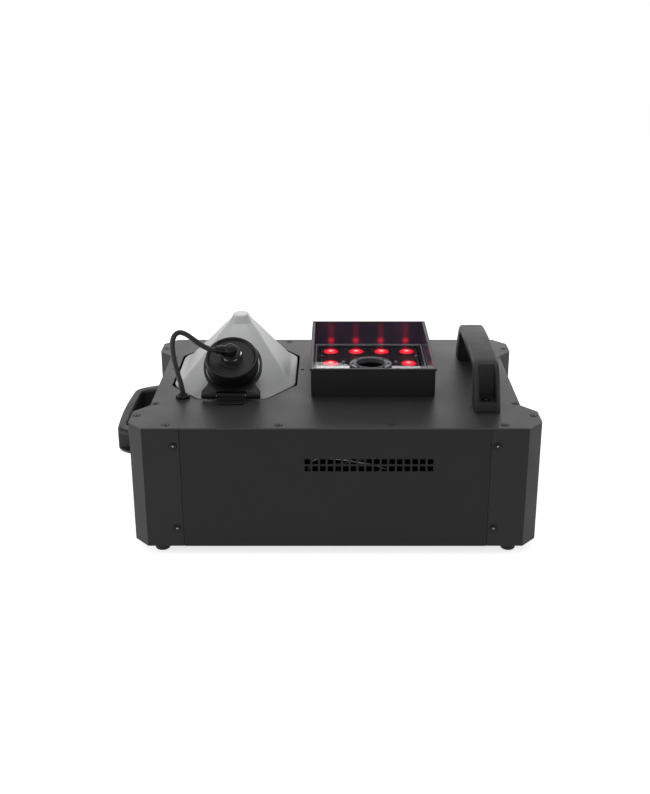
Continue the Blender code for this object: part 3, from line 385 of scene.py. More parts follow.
def lathe(profile, sides=48, closed=False, ribs=None):
    """Profile of (radius, height) turned about Z. ribs is (first, last, depth, width): the
    points from first to last step in by depth on every other group of width sides."""
    mesh = bpy.data.meshes.new("lathe")
    shape = bmesh.new()
    rings = []
    for index, (radius, height) in enumerate(profile):
        if radius == 0:
            rings.append([shape.verts.new((0, 0, height))])
            continue
        ring = []
        for i in range(sides):
            here = radius
            if ribs and ribs[0] <= index <= ribs[1] and (i // ribs[3]) % 2:
                here -= ribs[2]
            angle = 2 * math.pi * i / sides
            ring.append(shape.verts.new((here * math.cos(angle), here * math.sin(angle),
                                         height)))
        rings.append(ring)
    pairs = list(zip(rings, rings[1:]))
    if closed:
        pairs.append((rings[-1], rings[0]))
    for one, two in pairs:
        for i in range(sides):
            near = [one[i - 1], one[i]] if len(one) > 1 else [one[0]]
            far = [two[i], two[i - 1]] if len(two) > 1 else [two[0]]
            shape.faces.new(near + far)
    bmesh.ops.recalc_face_normals(shape, faces=shape.faces)
    shape.to_mesh(mesh)
    shape.free()
    return mesh


def block(low, high):
    mesh = bpy.data.meshes.new("block")
    shape = bmesh.new()
    size = Vector(high) - Vector(low)
    middle = (Vector(high) + Vector(low)) / 2
    bmesh.ops.create_cube(shape, size=1, matrix=Matrix.LocRotScale(middle, None, size))
    shape.to_mesh(mesh)
    shape.free()
    return mesh


def moved(mesh, matrix):
    mesh.transform(matrix)
    return mesh


def gathered(meshes):
    """One mesh from several, which are removed."""
    shape = bmesh.new()
    for mesh in meshes:
        shape.from_mesh(mesh)
        bpy.data.meshes.remove(mesh)
    whole = bpy.data.meshes.new("gathered")
    shape.to_mesh(whole)
    shape.free()
    return whole


def worked(mesh, bevel=0.0, segments=2, angle=40, cut=(), join=()):
    """The mesh with others joined and cut by booleans, then its sharp edges rounded."""
    source = bpy.data.objects.new("worked", mesh)
    helpers = []
    for operation, others in (('UNION', join), ('DIFFERENCE', cut)):
        for other in others:
            helper = bpy.data.objects.new("helper", other)
            bpy.context.scene.collection.objects.link(helper)
            helpers.append(helper)
            step = source.modifiers.new("boolean", 'BOOLEAN')
            step.operation = operation
            step.solver = 'EXACT'
            step.object = helper
    if bevel:
        step = source.modifiers.new("bevel", 'BEVEL')
        step.width = bevel
        step.segments = segments
        step.limit_method = 'ANGLE'
        step.angle_limit = math.radians(angle)
    made = meshed(source)
    for helper in helpers:
        bpy.data.objects.remove(helper, do_unlink=True)
    return made


def rectangle(x0, x1, y0, y1):
    return [(x0, y0), (x1, y0), (x1, y1), (x0, y1)]


def disc(radius, x=0.0, y=0.0, sides=32):
    return [(x + radius * math.cos(2 * math.pi * i / sides),
             y + radius * math.sin(2 * math.pi * i / sides)) for i in range(sides)]


def arc(x, y, radius, start, end, count):
    angles = [math.radians(start + (end - start) * i / (count - 1)) for i in range(count)]
    return [(x + radius * math.cos(a), y + radius * math.sin(a)) for a in angles]


def inset(loop, distance):
    moved_loop = []
    for i, point in enumerate(loop):
        here = Vector(point)
        sides = (here - Vector(loop[i - 1]), Vector(loop[(i + 1) % len(loop)]) - here)
        normals = [Vector((-d.y, d.x)).normalized() for d in sides]
        middle = sum(normals, Vector((0, 0))).normalized()
        moved_loop.append(tuple(here + middle * (distance / middle.dot(normals[0]))))
    return moved_loop


def spline(points, count):
    """Smooth curve through the points, with count steps in each span."""
    knots = [Vector(p) for p in points]
    knots = [knots[0] * 2 - knots[1], *knots, knots[-1] * 2 - knots[-2]]
    curve = []
    for p0, p1, p2, p3 in zip(knots, knots[1:], knots[2:], knots[3:]):
        for t in (i / count for i in range(count)):
            curve.append(0.5 * (2 * p1 + (p2 - p0) * t + (2 * p0 - 5 * p1 + 4 * p2 - p3) * t * t
                                + (3 * p1 - p0 - 3 * p2 + p3) * t ** 3))
    return curve + [knots[-2]]


def smooth_route(points, step):
    """Points every step along a smooth curve through a route's own points."""
    dense = spline(points, 16)
    lengths = [0.0]
    for a, b in zip(dense, dense[1:]):
        lengths.append(lengths[-1] + (b - a).length)
    pieces = max(2, round(lengths[-1] / step))
    taken = []
    index = 0
    for k in range(pieces + 1):
        target = lengths[-1] * k / pieces
        while index < len(lengths) - 2 and lengths[index + 1] < target:
            index += 1
        span = lengths[index + 1] - lengths[index]
        taken.append(dense[index].lerp(dense[index + 1], (target - lengths[index]) / span))
    return taken


def piece(name, mesh, look, body="casing", replaces=(), matrix=BODY, sharp=35,
          origin=False):
    """A finished piece that rides a body. With origin its object keeps the matrix as its own
    frame; otherwise the mesh is moved into the row frame."""
    mesh.name = name
    made = bpy.data.objects.new(name, mesh)
    bpy.context.scene.collection.objects.link(made)
    if origin:
        made.matrix_world = matrix
    else:
        mesh.transform(matrix)
    mesh.materials.clear()
    mesh.materials.append(look)
    mesh.shade_smooth()
    mesh.set_sharp_from_angle(angle=math.radians(sharp))
    if body:
        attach(made, body)
    if replaces:
        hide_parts(*replaces)
    return made


# ---------------------------------------------------------------- camera, floor and light
camera_data = bpy.data.cameras.new("camera")
camera_data.lens = 50.49
camera_data.sensor_width = 36
camera_data.shift_x = -0.0130
camera = bpy.data.objects.new("camera", camera_data)
camera.location = (0.0150, -1.2144, 0.5793)
camera.rotation_euler = (math.radians(90 - 20.631), 0, 0)
bpy.context.scene.collection.objects.link(camera)
bpy.context.scene.camera = camera


def area_light(name, location, target, size, power, colour=(1, 1, 1)):
    data = bpy.data.lights.new(name, 'AREA')
    data.shape = 'RECTANGLE'
    data.size, data.size_y = size
    data.energy = power
    data.color = colour
    made = bpy.data.objects.new(name, data)
    made.location = location
    made.rotation_euler = (Vector(target) - Vector(location)).to_track_quat('-Z', 'Y').to_euler()
    made.visible_camera = False
    bpy.context.scene.collection.objects.link(made)
    return made


def make_stage():
    floor = bpy.data.objects.new("floor", block((-60, -60, -0.02), (60, 60, 0)))
    bpy.context.scene.collection.objects.link(floor)
    white = surface("studio_floor", (0.86, 0.86, 0.86), 0.9, mottle=(3, 0.01), specular=0.1,
                    emission=((1, 1, 1), 0.75))
    floor.data.materials.append(white)
    floor.visible_diffuse = False

    world = bpy.data.worlds.new("studio")
    world.use_nodes = True
    back = world.node_tree.nodes["Background"]
    back.inputs["Color"].default_value = (1, 1, 1, 1)
    back.inputs["Strength"].default_value = 0.28
    bpy.context.scene.world = world
    bpy.context.scene.view_settings.view_transform = 'Standard'

    area_light("overhead", (0.0, 0.25, 1.5), (0, 0, 0.1), (1.6, 1.2), 7.5)
    area_light("rear_strip", (0.0, 1.5, 0.55), (0, 0, 0.1), (2.4, 0.5), 8)
    area_light("left_box", (-1.4, -0.5, 0.6), (0, 0, 0.1), (0.8, 0.9), 5)
    area_light("right_box", (1.4, -0.5, 0.6), (0, 0, 0.1), (0.8, 0.9), 2.6)


make_stage()

# ---------------------------------------------------------------- carried-over CAD nodes
# node: (material, rounded edge in metres)
PLAIN_NODES = {
    "base_plate": (POWDER, 0.0003), "front_panel": (POWDER, 0.0003),
    "rear_panel": (POWDER, 0.0003), "side_panel_left": (POWDER, 0.0003),
    "side_panel_right": (POWDER, 0.0003), "corner_post_front_left": (POST_POWDER, 0.0004),
    "corner_post_front_right": (POST_POWDER, 0.0004),
    "corner_post_rear_left": (POST_POWDER, 0.0004),
    "corner_post_rear_right": (POST_POWDER, 0.0004), "top_plate": (TOP_POWDER, 0.0005),
    "foot_front_left": (RUBBER, 0.0005), "foot_front_right": (RUBBER, 0.0005),
    "foot_rear_left": (RUBBER, 0.0005), "foot_rear_right": (RUBBER, 0.0005),
    "hood": (POWDER, 0.0003), "light_window": (CLEAR, 0), "lamp_board": (BOARD_BLACK, 0),
    "nozzle_tube": (BLACK_PLASTIC, 0.0003), "tank_pad": (RUBBER, 0.0008),
    "pickup_tube": (SILICONE, 0), "pickup_strainer": (BRASS, 0.0003),
    "hinge_pin": (NICKEL, 0.0003),
    "pump_inlet_hose": (HOSE_BLACK, 0), "heater_block": (CAST, 0.0008),
    "heater_outlet": (BRASS, 0.0003), "heater_cradle": (ZINC, 0.0003),
    "pump_body": (BLACK_PLASTIC, 0.0008), "pump_plunger": (ZINC, 0.0003),
    "pump_bracket": (ZINC, 0.0003), "pressure_pipe": (BRASS, 0), "power_board": (BOARD_GREEN, 0),
    "control_board": (BOARD_GREEN, 0), "fan_frame": (BLACK_PLASTIC, 0.0004),
    "fan_rotor": (BLACK_PLASTIC, 0.0002), "menu_face": (BLACK_PLASTIC, 0.0005),
    "display_window": (DISPLAY, 0.0003), "menu_button_1": (BUTTON, 0.0003),
    "menu_button_2": (BUTTON, 0.0003), "menu_button_3": (BUTTON, 0.0003),
    "menu_button_4": (BUTTON, 0.0003), "mains_inlet": (BLACK_PLASTIC, 0.0004),
    "switch_housing": (BLACK_PLASTIC, 0.0004), "power_rocker": (BLACK_PLASTIC, 0.0005),
    "fuse_holder": (BLACK_PLASTIC, 0.0002), "fuse_cap": (BLACK_PLASTIC, 0.0003),
    "signal_in_socket": (SOCKET, 0.0004), "signal_out_socket": (SOCKET, 0.0004),
    "signal_latch": (NICKEL, 0.0003),
}


def finish_node(name, look, edge):
    """The node's own mesh with flat faces merged and edges rounded, in a new material."""
    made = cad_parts[name]
    made.data.materials.clear()
    made.data.materials.append(look)
    weld = made.modifiers.new("weld", 'WELD')
    weld.merge_threshold = 0.000005
    merge = made.modifiers.new("merge_flat_faces", 'DECIMATE')
    merge.decimate_type = 'DISSOLVE'
    merge.angle_limit = math.radians(1)
    if edge:
        bevel = made.modifiers.new("edges", 'BEVEL')
        bevel.width = edge
        bevel.segments = 2
        bevel.limit_method = 'ANGLE'
        bevel.angle_limit = math.radians(40)
    made.modifiers.new("normals", 'WEIGHTED_NORMAL')


for node_name, (node_look, node_edge) in PLAIN_NODES.items():
    finish_node(node_name, node_look, node_edge)


# ---------------------------------------------------------------- screws
def countersunk(radius=0.0033):
    """Flush screw head and its painted shade: a flat near-black ring round the head and a raised
    dark cross for its cross recess, standing on Z = 0.
    """
    head = lathe([(0, 0.00035), (radius * 0.72, 0.00035), (radius, 0.00018), (radius, 0)], 24)
    gap_shade = lathe([(radius + 0.0009, 0.00014), (radius + 0.0009, 0), (radius, 0),
                 (radius, 0.00014)], 24, closed=True)
    cross = [block((-0.0020, -0.0006, 0.0003), (0.0020, 0.0006, 0.00042)),
             block((-0.0006, -0.0020, 0.0003), (0.0006, 0.0020, 0.00042))]
    return head, gathered([gap_shade, *cross])


def button_head(radius=0.0034, height=0.0018):
    """Domed screw head with a hexagon socket, standing on Z = 0."""
    return lathe([(0, height * 0.35), (radius * 0.42, height * 0.35), (radius * 0.45, height),
                  (radius * 0.62, height * 0.93), (radius * 0.88, height * 0.6),
                  (radius, height * 0.15), (radius, 0)], 24)


def screw_rows():
    """Screws of the top plate, posts and handles, gathered into a few pieces."""
    heads, gap_shades = [], []
    spots = [(x, y) for x in (-0.176, -0.0584, 0.0584, 0.176) for y in (-0.1410, 0.1410)]
    spots += [(sx * x, sy * y) for sx in (-1, 1) for sy in (-1, 1)
              for x, y in ((0.2098, 0.1135), (0.1958, 0.0780))]
    for number, (x, y) in enumerate(spots):
        turn = Matrix.Rotation(math.radians(37 * number), 4, 'Z')
        place = Matrix.Translation((x, y, PLATE_TOP)) @ turn
        head, gap_shade = countersunk()
        heads.append(moved(head, place))
        gap_shades.append(moved(gap_shade, place))
    piece("top_plate_screws", gathered(heads), TOP_POWDER)
    # painted shade: flat near-black rings and crosses on the top plate screws
    piece("top_plate_screw_gap_shade", gathered(gap_shades), PAINTED_GAP_SHADE)

    heads, sockets, gap_shades = [], [], []
    for x in (-POST_SCREWS_X, POST_SCREWS_X):
        for z in POST_SCREWS_Z:
            for y, turn in ((-HALF_DEPTH, FACING_FRONT), (HALF_DEPTH, FACING_BACK)):
                place = Matrix.Translation((x, y, z)) @ turn
                heads.append(moved(button_head(), place))
                # painted shade: a flat dark ring round each post screw head
                gap_shades.append(moved(lathe([(0.0034, 0.0002), (0.0046, 0.00015), (0.0046, 0)], 24),
                                  place))
                sockets.append(moved(lathe([(0, 0.0012), (0.0010, 0.0011), (0.0012, 0.0006)], 6),
                                     place))
    for side in (-1, 1):
        turn = FACING_RIGHT if side > 0 else Matrix.Rotation(math.pi, 4, 'Z') @ FACING_RIGHT
        for y in (-0.0765, 0.0765):
            for z in POST_SCREWS_Z:
                heads.append(moved(button_head(0.0026, 0.0014),
                                   Matrix.Translation((side * RECESS_X, y, z)) @ turn))
    piece("post_screws", gathered(heads), BLACK_PLASTIC)
    piece("post_screw_sockets", gathered(sockets), SOCKET)
    piece("post_screw_gap_shade", gathered(gap_shades), PAINTED_GAP_SHADE)


screw_rows()


# ---------------------------------------------------------------- handles
def handle_mesh(length, height, knee):
    """Bow handle along Y with its seat on Z = 0, rounded all over, with an open channel and a
    screw pocket in each leg. Returned with its two screws and their sockets."""
    half = length / 2
    crown_half = half - knee * 1.33
    outer = [(-half + knee * along, height * up) for along, up in
             ((0, -0.12), (0, 0), (0.12, 0.25), (0.30, 0.45), (0.50, 0.62), (0.75, 0.78),
              (1.0, 0.88))]
    outer += [(-crown_half * i / 4, height * (1 - 0.065 * (i / 4) ** 2)) for i in (4, 3, 2, 1)]
    foot, bend = -half + knee * 0.90 + 0.0050, -half + knee * 1.07 + 0.0115
    inner = [(foot, -height * 0.12), (foot, 0), (foot + 0.0008, height * 0.19),
             (foot + 0.0018, height * 0.38), (foot + 0.0036, height * 0.54),
             (foot + 0.0062, height * 0.68), (bend, height - 0.0132),
             (bend + 0.0060, height - 0.0122)]
    inner += [((bend + 0.0060) * i / 4, height - 0.0121) for i in (3, 2, 1)]
    outer += [(0, height)] + [(-y, z) for y, z in reversed(outer)]
    inner += [(0, height - 0.0120)] + [(-y, z) for y, z in reversed(inner)]
    width, corner = HANDLE_WIDTH / 2, 0.0040
    shape = bmesh.new()
    rings = []
    for out, within in zip(spline([(0, *p) for p in outer], 4),
                           spline([(0, *p) for p in inner], 4)):
        depth = (out - within).length
        along = (out - within) / depth
        section = (arc(width - corner, depth - corner, corner, 0, 90, 6)
                   + arc(-width + corner, depth - corner, corner, 90, 180, 6)
                   + arc(-width + corner, corner, corner, 180, 270, 6)
                   + arc(width - corner, corner, corner, 270, 360, 6))
        rings.append([shape.verts.new(within + along * v + Vector((u, 0, 0)))
                      for u, v in section])
    for one, two in zip(rings, rings[1:]):
        for i in range(len(one)):
            shape.faces.new((one[i - 1], one[i], two[i], two[i - 1]))
    shape.faces.new(rings[0][::-1])
    shape.faces.new(rings[-1])
    bmesh.ops.recalc_face_normals(shape, faces=shape.faces)
    mesh = bpy.data.meshes.new("grip")
    shape.to_mesh(mesh)
    shape.free()

    stand = Matrix.Rotation(math.pi / 2, 4, 'Z') @ Matrix.Rotation(math.pi / 2, 4, 'X')
    channels, screws, sockets = [], [], []
    for end in (-1, 1):
        outline = [(half + 0.010, 0.0108), (half - 0.0040, 0.0108), (half - 0.0050, 0.0085),
                   (half - knee * 0.90, 0.0085), (half - knee * 0.98, height * 0.60),
                   (half - knee * 1.07, height * 0.90), (half - knee * 1.07, height + 0.010),
                   (half + 0.010, height + 0.010)]
        channel = extruded([[(end * y, z) for y, z in outline]], -0.0092, 0.0092)
        channels.append(moved(worked(channel, 0.0012, 3, 25), stand))
        seat = Matrix.Translation((0, end * (half - knee * 0.63), 0.0085))
        screws.append(moved(button_head(0.0042, 0.0022), seat))
        sockets.append(moved(lathe([(0, 0.0013), (0.0013, 0.0012), (0.0015, 0.0007)], 6), seat))
    below = block((-0.05, -0.2, -0.05), (0.05, 0.2, 0))
    mesh = worked(mesh, cut=[below, *channels])
    return (worked(mesh, bevel=0.0006, segments=2, angle=50), gathered(screws),
            gathered(sockets))


def make_handles():
    for name, length, height, knee, place in (
            ("top_handle", 0.2030, 0.0500, 0.0270,
             Matrix.Translation((*TOP_HANDLE, PLATE_TOP + CLEARANCE))),
            ("side_handle", 0.1660, 0.0452, 0.0190,
             Matrix.Translation((-RECESS_X - CLEARANCE, 0, SIDE_HANDLE_Z))
             @ Matrix.Rotation(-math.pi / 2, 4, 'Y'))):
        grip, screws, sockets = handle_mesh(length, height, knee)
        piece(f"{name}_grip", grip, HANDLE_PLASTIC, replaces=[name],
              matrix=BODY @ place, sharp=45)
        piece(f"{name}_screws", screws, BLACK_PLASTIC, matrix=BODY @ place)
        piece(f"{name}_screw_sockets", sockets, NICKEL, matrix=BODY @ place)


make_handles()


# ---------------------------------------------------------------- hood, lamps and nozzle
def make_hood_inside():
    outside = rectangle(*HOOD_X, *HOOD_Y)
    inner = inset(outside, HOOD_SHEET + 0.00005)
    liner = extruded([inner, inset(inner, 0.00020)], WINDOW_TOP + 0.0001, HOOD_TOP - 0.0006)
    piece("hood_liner", liner, LINER_BLACK)

    # painted highlight: a thin light strip round the window stands in for the glints on its
    # polished edge
    edge = inset(outside, HOOD_SHEET + 0.0012)
    edge_highlight = extruded([edge, inset(edge, 0.0012)], WINDOW_TOP + 0.00005, WINDOW_TOP + 0.0007)
    piece("window_edge_highlight", worked(edge_highlight, 0.0002, 2), WINDOW_EDGE_HIGHLIGHT)

    hole = disc(0.0205, *NOZZLE, 48)
    carrier = extruded([inset(outside, 0.0095), hole], 0.1415, 0.1430)
    piece("lens_carrier", worked(carrier, 0.0002, 1), BOARD_BLACK,
          replaces=["lens_array"])
    frame_line = inset(outside, 0.0100)
    rim = extruded([frame_line, inset(frame_line, 0.0010)], 0.1431, 0.1441)
    piece("carrier_rim", worked(rim, 0.0002, 2), RING_GREY)

    for row_number, row in enumerate(LED_ROWS, 1):
        whole_row = row in (LED_ROWS[0], LED_ROWS[-1])
        columns = LED_COLUMNS if whole_row else (LED_COLUMNS[0], LED_COLUMNS[-1])
        for number, column in enumerate(columns, 1):
            lens = lathe([(LENS_R, 0), (LENS_R, 0.0010), (LENS_R * 0.93, 0.0017),
                          (LENS_R * 0.70, 0.0022), (LENS_R * 0.35, 0.0025), (0, 0.0026)], 32)
            piece(f"lit_lens_{row_number}_{number}", lens, LIT_LENS,
                  matrix=BODY @ Matrix.Translation((column, row, 0.1430)), origin=True)
            bezel = lathe([(LENS_R + 0.0008, 0.0001), (LENS_R + 0.0008, 0.0009),
                           (LENS_R + 0.0001, 0.0009), (LENS_R + 0.0001, 0.0001)], 32, True)
            piece(f"lens_bezel_{row_number}_{number}", bezel, BLACK_PLASTIC,
                  matrix=BODY @ Matrix.Translation((column, row, 0.1430)))

    screws = []
    for x, y in ((-0.0160, 0.0860), (0.0990, 0.0860), (0.0100, 0.0640), (0.0730, 0.0640),
                 (-0.0160, -0.0200), (0.0990, -0.0200), (0.0100, 0.0020), (0.0730, 0.0020)):
        screws.append(moved(button_head(0.0022, 0.0012), Matrix.Translation((x, y, 0.1430))))
    piece("carrier_screws", gathered(screws), ZINC)


def make_nozzle_ring():
    profile = [(NOZZLE_R, WINDOW_TOP + CLEARANCE), (NOZZLE_R, 0.1545), (0.0175, 0.1551),
               (0.0183, 0.1553), (0.0190, 0.1550), (0.0193, 0.1541), (0.0228, 0.1539),
               (0.0236, 0.1545), (0.0244, 0.1543), (0.0249, 0.1534),
               (0.0250, WINDOW_TOP + CLEARANCE)]
    ring = lathe(profile, 64, closed=True)
    place = BODY @ Matrix.Translation((*NOZZLE, 0))
    piece("nozzle_collar", ring, RING_GREY, replaces=["nozzle_ring"],
          matrix=place)
    screws = [moved(button_head(0.0017, 0.0009), Matrix.Translation(
        (0.0211 * math.cos(a), 0.0211 * math.sin(a), 0.1539)))
        for a in (math.radians(45 + 90 * i) for i in range(4))]
    screws += [moved(button_head(0.0017, 0.0009),
                     Matrix.Translation((sx * 0.0211, 0, 0.1539))) for sx in (-1, 1)]
    piece("nozzle_collar_screws", gathered(screws), SCREW_BLACK, matrix=place)


make_hood_inside()
make_nozzle_ring()


# ---------------------------------------------------------------- tank
# the tank's top, from the plate's level to the flat peak: height, half width, front, rear
TANK_TOP = [(0.1460, 0.0683, -0.0643, 0.1273), (0.1495, 0.0610, -0.0520, 0.1225),
            (0.1590, 0.0495, -0.0180, 0.1180), (0.1700, 0.0368, 0.0150, 0.1130),
            (0.1800, 0.0260, 0.0440, 0.1080), (0.1870, 0.0185, 0.0610, 0.1040),
            (0.1915, 0.0135, 0.0690, 0.1010), (0.1960, 0.0105, 0.0715, 0.0985),
            (0.1995, 0.0092, 0.0730, 0.0970), (0.2005, 0.0075, 0.0750, 0.0950)]
TANK_FLOOR = 0.0148


def tank_level(height, half_width, front, rear):
    """One level of the tank: a rectangle with cut and softly rounded corners."""
    half_length = (rear - front) / 2
    corner_x = half_width * 0.0320 / 0.0710
    corner_y = half_length * 0.0460 / 0.0985
    quarter = [(half_width, -half_length + corner_y), (half_width, half_length - corner_y),
               (half_width - corner_x, half_length), (-half_width + corner_x, half_length)]
    loop = [Vector((x, y)) for x, y in quarter + [(-x, -y) for x, y in quarter]]
    middle = Vector((TANK_X, (front + rear) / 2))
    points = []
    for i, here in enumerate(loop):
        before, after = loop[i - 1], loop[(i + 1) % len(loop)]
        reach = 0.17 * min((before - here).length, (after - here).length)
        start = here + (before - here).normalized() * reach
        end = here + (after - here).normalized() * reach
        for k in range(5):
            t = k / 4
            points.append(start * (1 - t) ** 2 + here * 2 * t * (1 - t) + end * t ** 2)
    return [(middle.x + p.x, middle.y + p.y, height) for p in points]


def make_tank():
    rows = [Vector(row) for row in TANK_TOP]
    side = [(TANK_FLOOR, 0.0040), (TANK_FLOOR + 0.0012, 0.0012), (TANK_FLOOR + 0.0045, 0.0),
            (0.1200, 0.0), (0.1420, 0.0)]
    _, half_width, front, rear = TANK_TOP[0]
    levels = [(z, half_width - g, front + g, rear - g) for z, g in side]
    levels += [TANK_TOP[0]]
    for a, b in zip(rows, rows[1:]):
        levels += [tuple(a.lerp(b, t)) for t in (0.25, 0.5, 0.75, 1.0)]
    shape = bmesh.new()
    rings = [[shape.verts.new(p) for p in tank_level(*level)] for level in levels]
    for below, above in zip(rings, rings[1:]):
        for i in range(len(below)):
            shape.faces.new((below[i - 1], below[i], above[i], above[i - 1]))
    shape.faces.new(rings[0][::-1])
    shape.faces.new(rings[-1])
    bmesh.ops.recalc_face_normals(shape, faces=shape.faces)
    shell = bpy.data.meshes.new("tank_shell")
    shape.to_mesh(shell)
    shape.free()

    place = Matrix.Translation(NECK_CENTRE) @ Matrix.Rotation(NECK_TILT, 4, 'X')
    outside = [(0, -0.0300), (0.0243, -0.0300), (0.0243, -0.0062), (0.0262, -0.0058),
               (0.0262, -0.0040), (0.0243, -0.0036)]
    for z in (0.0012, 0.0046, 0.0080):
        outside += [(0.0243, z), (0.0255, z + 0.0006), (0.0255, z + 0.0012),
                    (0.0243, z + 0.0018)]
    outside += [(0.0243, 0.0112), (0.0238, 0.0118), (0, 0.0118)]
    neck = moved(lathe(outside, 64), place)
    bore = moved(lathe([(0, -0.0560), (0.0200, -0.0560), (0.0200, 0.0200), (0, 0.0200)], 64),
                 place)
    tank = worked(shell, join=[neck], cut=[bore])
    piece("tank_body", tank, MILKY_WITH_PAINTED_SHADE, replaces=["tank"], sharp=24)


make_tank()


# ---------------------------------------------------------------- cap, collar and hose
def make_cap():
    skirt_low, skirt_high = 0.0022, 0.0168
    profile = [(0.0054, 0.0140), (0.0054, 0.0176), (0.0098, 0.0176), (0.0102, 0.0180),
               (0.0118, 0.0180), (0.0122, 0.0176), (0.0232, 0.0176), (0.0246, 0.0178),
               (0.0256, 0.0190), (0.0264, 0.0198), (0.0274, 0.0200), (0.0283, 0.0197),
               (0.0288, 0.0188), (0.0290, skirt_high), (0.0290, skirt_low),
               (0.0288, 0.0010), (0.0283, 0.0005), (0.0266, 0.0005), (0.0266, 0.0120),
               (0.0250, 0.0140)]
    cap = lathe(profile, 192, closed=True, ribs=(13, 14, 0.00015, 2))
    piece("cap_shell", cap, BLACK_PLASTIC, "cap", ["tank_cap"], NECK, 30)


def make_fitting():
    elbow = lathe([(0, 0.0385), (0.0022, 0.0384), (0.0040, 0.0380), (0.0054, 0.0369),
                   (0.0062, 0.0356), (0.0065, 0.0340), (0.0065, 0.0290), (0.0100, 0.0286),
                   (0.0106, 0.0280), (0.0106, 0.0268), (0.0049, 0.0268), (0.0049, 0.0135),
                   (0.0090, 0.0135), (0.0090, 0.0120),
                   (0.0047, 0.0120), (0.0047, 0.0060), (0, 0.0060)], 40)
    outlet = moved(lathe([(0, 0), (0.0048, 0), (0.0048, 0.0085), (0.0052, 0.0090),
                          (0.0052, 0.0112), (0.0046, 0.0117), (0.0043, 0.0160),
                          (0, 0.0160)], 36),
                   Matrix.Translation((0, 0, ELBOW_OUTLET))
                   @ Matrix.Rotation(-math.pi / 2, 4, 'Y'))
    piece("elbow_body", worked(elbow, join=[outlet]), BLACK_PLASTIC,
          "cap_fitting", ["elbow_fitting"], NECK)

    hexagon = worked(extruded([disc(0.0121, 0, 0, 6), disc(0.0053, 0, 0, 40)],
                              0.0179, 0.0266), 0.0006, 2, 30)
    piece("elbow_hexagon_nut", hexagon, NICKEL, "cap_fitting", ["elbow_nut"],
          NECK)


def make_collar():
    front = -HINGE_REACH + KNUCKLE_R + 0.0006
    flare = [(0.0323, -HINGE_REACH), (0.0323, -0.0354), (0.0316, -0.0334), (0.0306, -0.0318),
             (0.0290, -0.0294), (0.0275, -0.0270), (0.0263, -0.0246), (0.0258, -0.0225),
             (0.0259, -0.0205)]
    radius, hole_radius, stretch = 0.0324, 0.0298, 0.0045
    shoulder = arc(0, 0, radius, -38, 0, 10)
    crown = arc(0, stretch, radius, 0, 180, 48)
    left = [(-x, y) for x, y in reversed(flare + shoulder)]
    notch = [(-0.0160, -HINGE_REACH), (-0.0160, front), (0.0160, front),
             (0.0160, -HINGE_REACH)]
    outer = flare + shoulder + crown + left + notch
    hole = (arc(0, stretch, hole_radius, 0, 180, 48)
            + arc(0, 0, hole_radius, 180, 360, 48))
    plate = worked(extruded([outer, hole], -0.0030, 0.0030), 0.0007, 2, 50)
    knuckles = [moved(lathe([(0, -0.00805), (KNUCKLE_R - 0.0004, -0.00805),
                             (KNUCKLE_R, -0.00765), (KNUCKLE_R, 0.00765),
                             (KNUCKLE_R - 0.0004, 0.00805), (0, 0.00805)], 32),
                      Matrix.Translation((side * 0.02425, -HINGE_REACH, 0))
                      @ Matrix.Rotation(math.pi / 2, 4, 'Y')) for side in (-1, 1)]
    bore = moved(lathe([(0, -0.04), (0.0019, -0.04), (0.0019, 0.04), (0, 0.04)], 24),
                 Matrix.Translation((0, -HINGE_REACH, 0)) @ Matrix.Rotation(math.pi / 2, 4, 'Y'))
    piece("collar_plate", worked(plate, join=knuckles, cut=[bore]), BLACK_PLASTIC,
          "collar", ["retaining_collar"], NECK, 30)


def make_hinge_lug():
    axis_y = NECK_CENTRE[1] - HINGE_REACH * math.cos(NECK_TILT)
    axis_z = NECK_CENTRE[2] - HINGE_REACH * math.sin(NECK_TILT)
    low = PLATE_TOP + CLEARANCE
    # tab seen from above: straight at the hinge, with a rounded narrower nose
    tab = [(-0.0155, axis_y + 0.0010), (-0.0155, -0.0795), (-0.0148, -0.0818),
           (-0.0128, -0.0833), (-0.0105, -0.0839), (0.0105, -0.0839), (0.0128, -0.0833),
           (0.0148, -0.0818), (0.0155, -0.0795), (0.0155, axis_y + 0.0010)]
    strap = worked(extruded([tab], low, low + 0.0018), 0.0005, 2, 50)
    riser = [(axis_y - 0.0045, low), (axis_y + 0.0010, low), (axis_y + 0.0026, axis_z - 0.0012),
             (axis_y - 0.0026, axis_z)]
    rise = moved(extruded([riser], -0.0155, 0.0155), FACING_RIGHT)
    knuckle = moved(lathe([(0, -0.0155), (KNUCKLE_R - 0.0004, -0.0155),
                           (KNUCKLE_R, -0.0151), (KNUCKLE_R, 0.0151),
                           (KNUCKLE_R - 0.0004, 0.0155), (0, 0.0155)], 32),
                    Matrix.Translation((0, axis_y, axis_z)) @ Matrix.Rotation(math.pi / 2, 4, 'Y'))
    bore = moved(lathe([(0, -0.04), (0.0016, -0.04), (0.0016, 0.04), (0, 0.04)], 24),
                 Matrix.Translation((0, axis_y, axis_z)) @ Matrix.Rotation(math.pi / 2, 4, 'Y'))
    place = BODY @ Matrix.Translation((TANK_X, 0, 0))
    piece("hinge_tab", worked(strap, join=[rise, knuckle], cut=[bore]), BLACK_PLASTIC,
          replaces=["hinge_lug"], matrix=place, sharp=30)


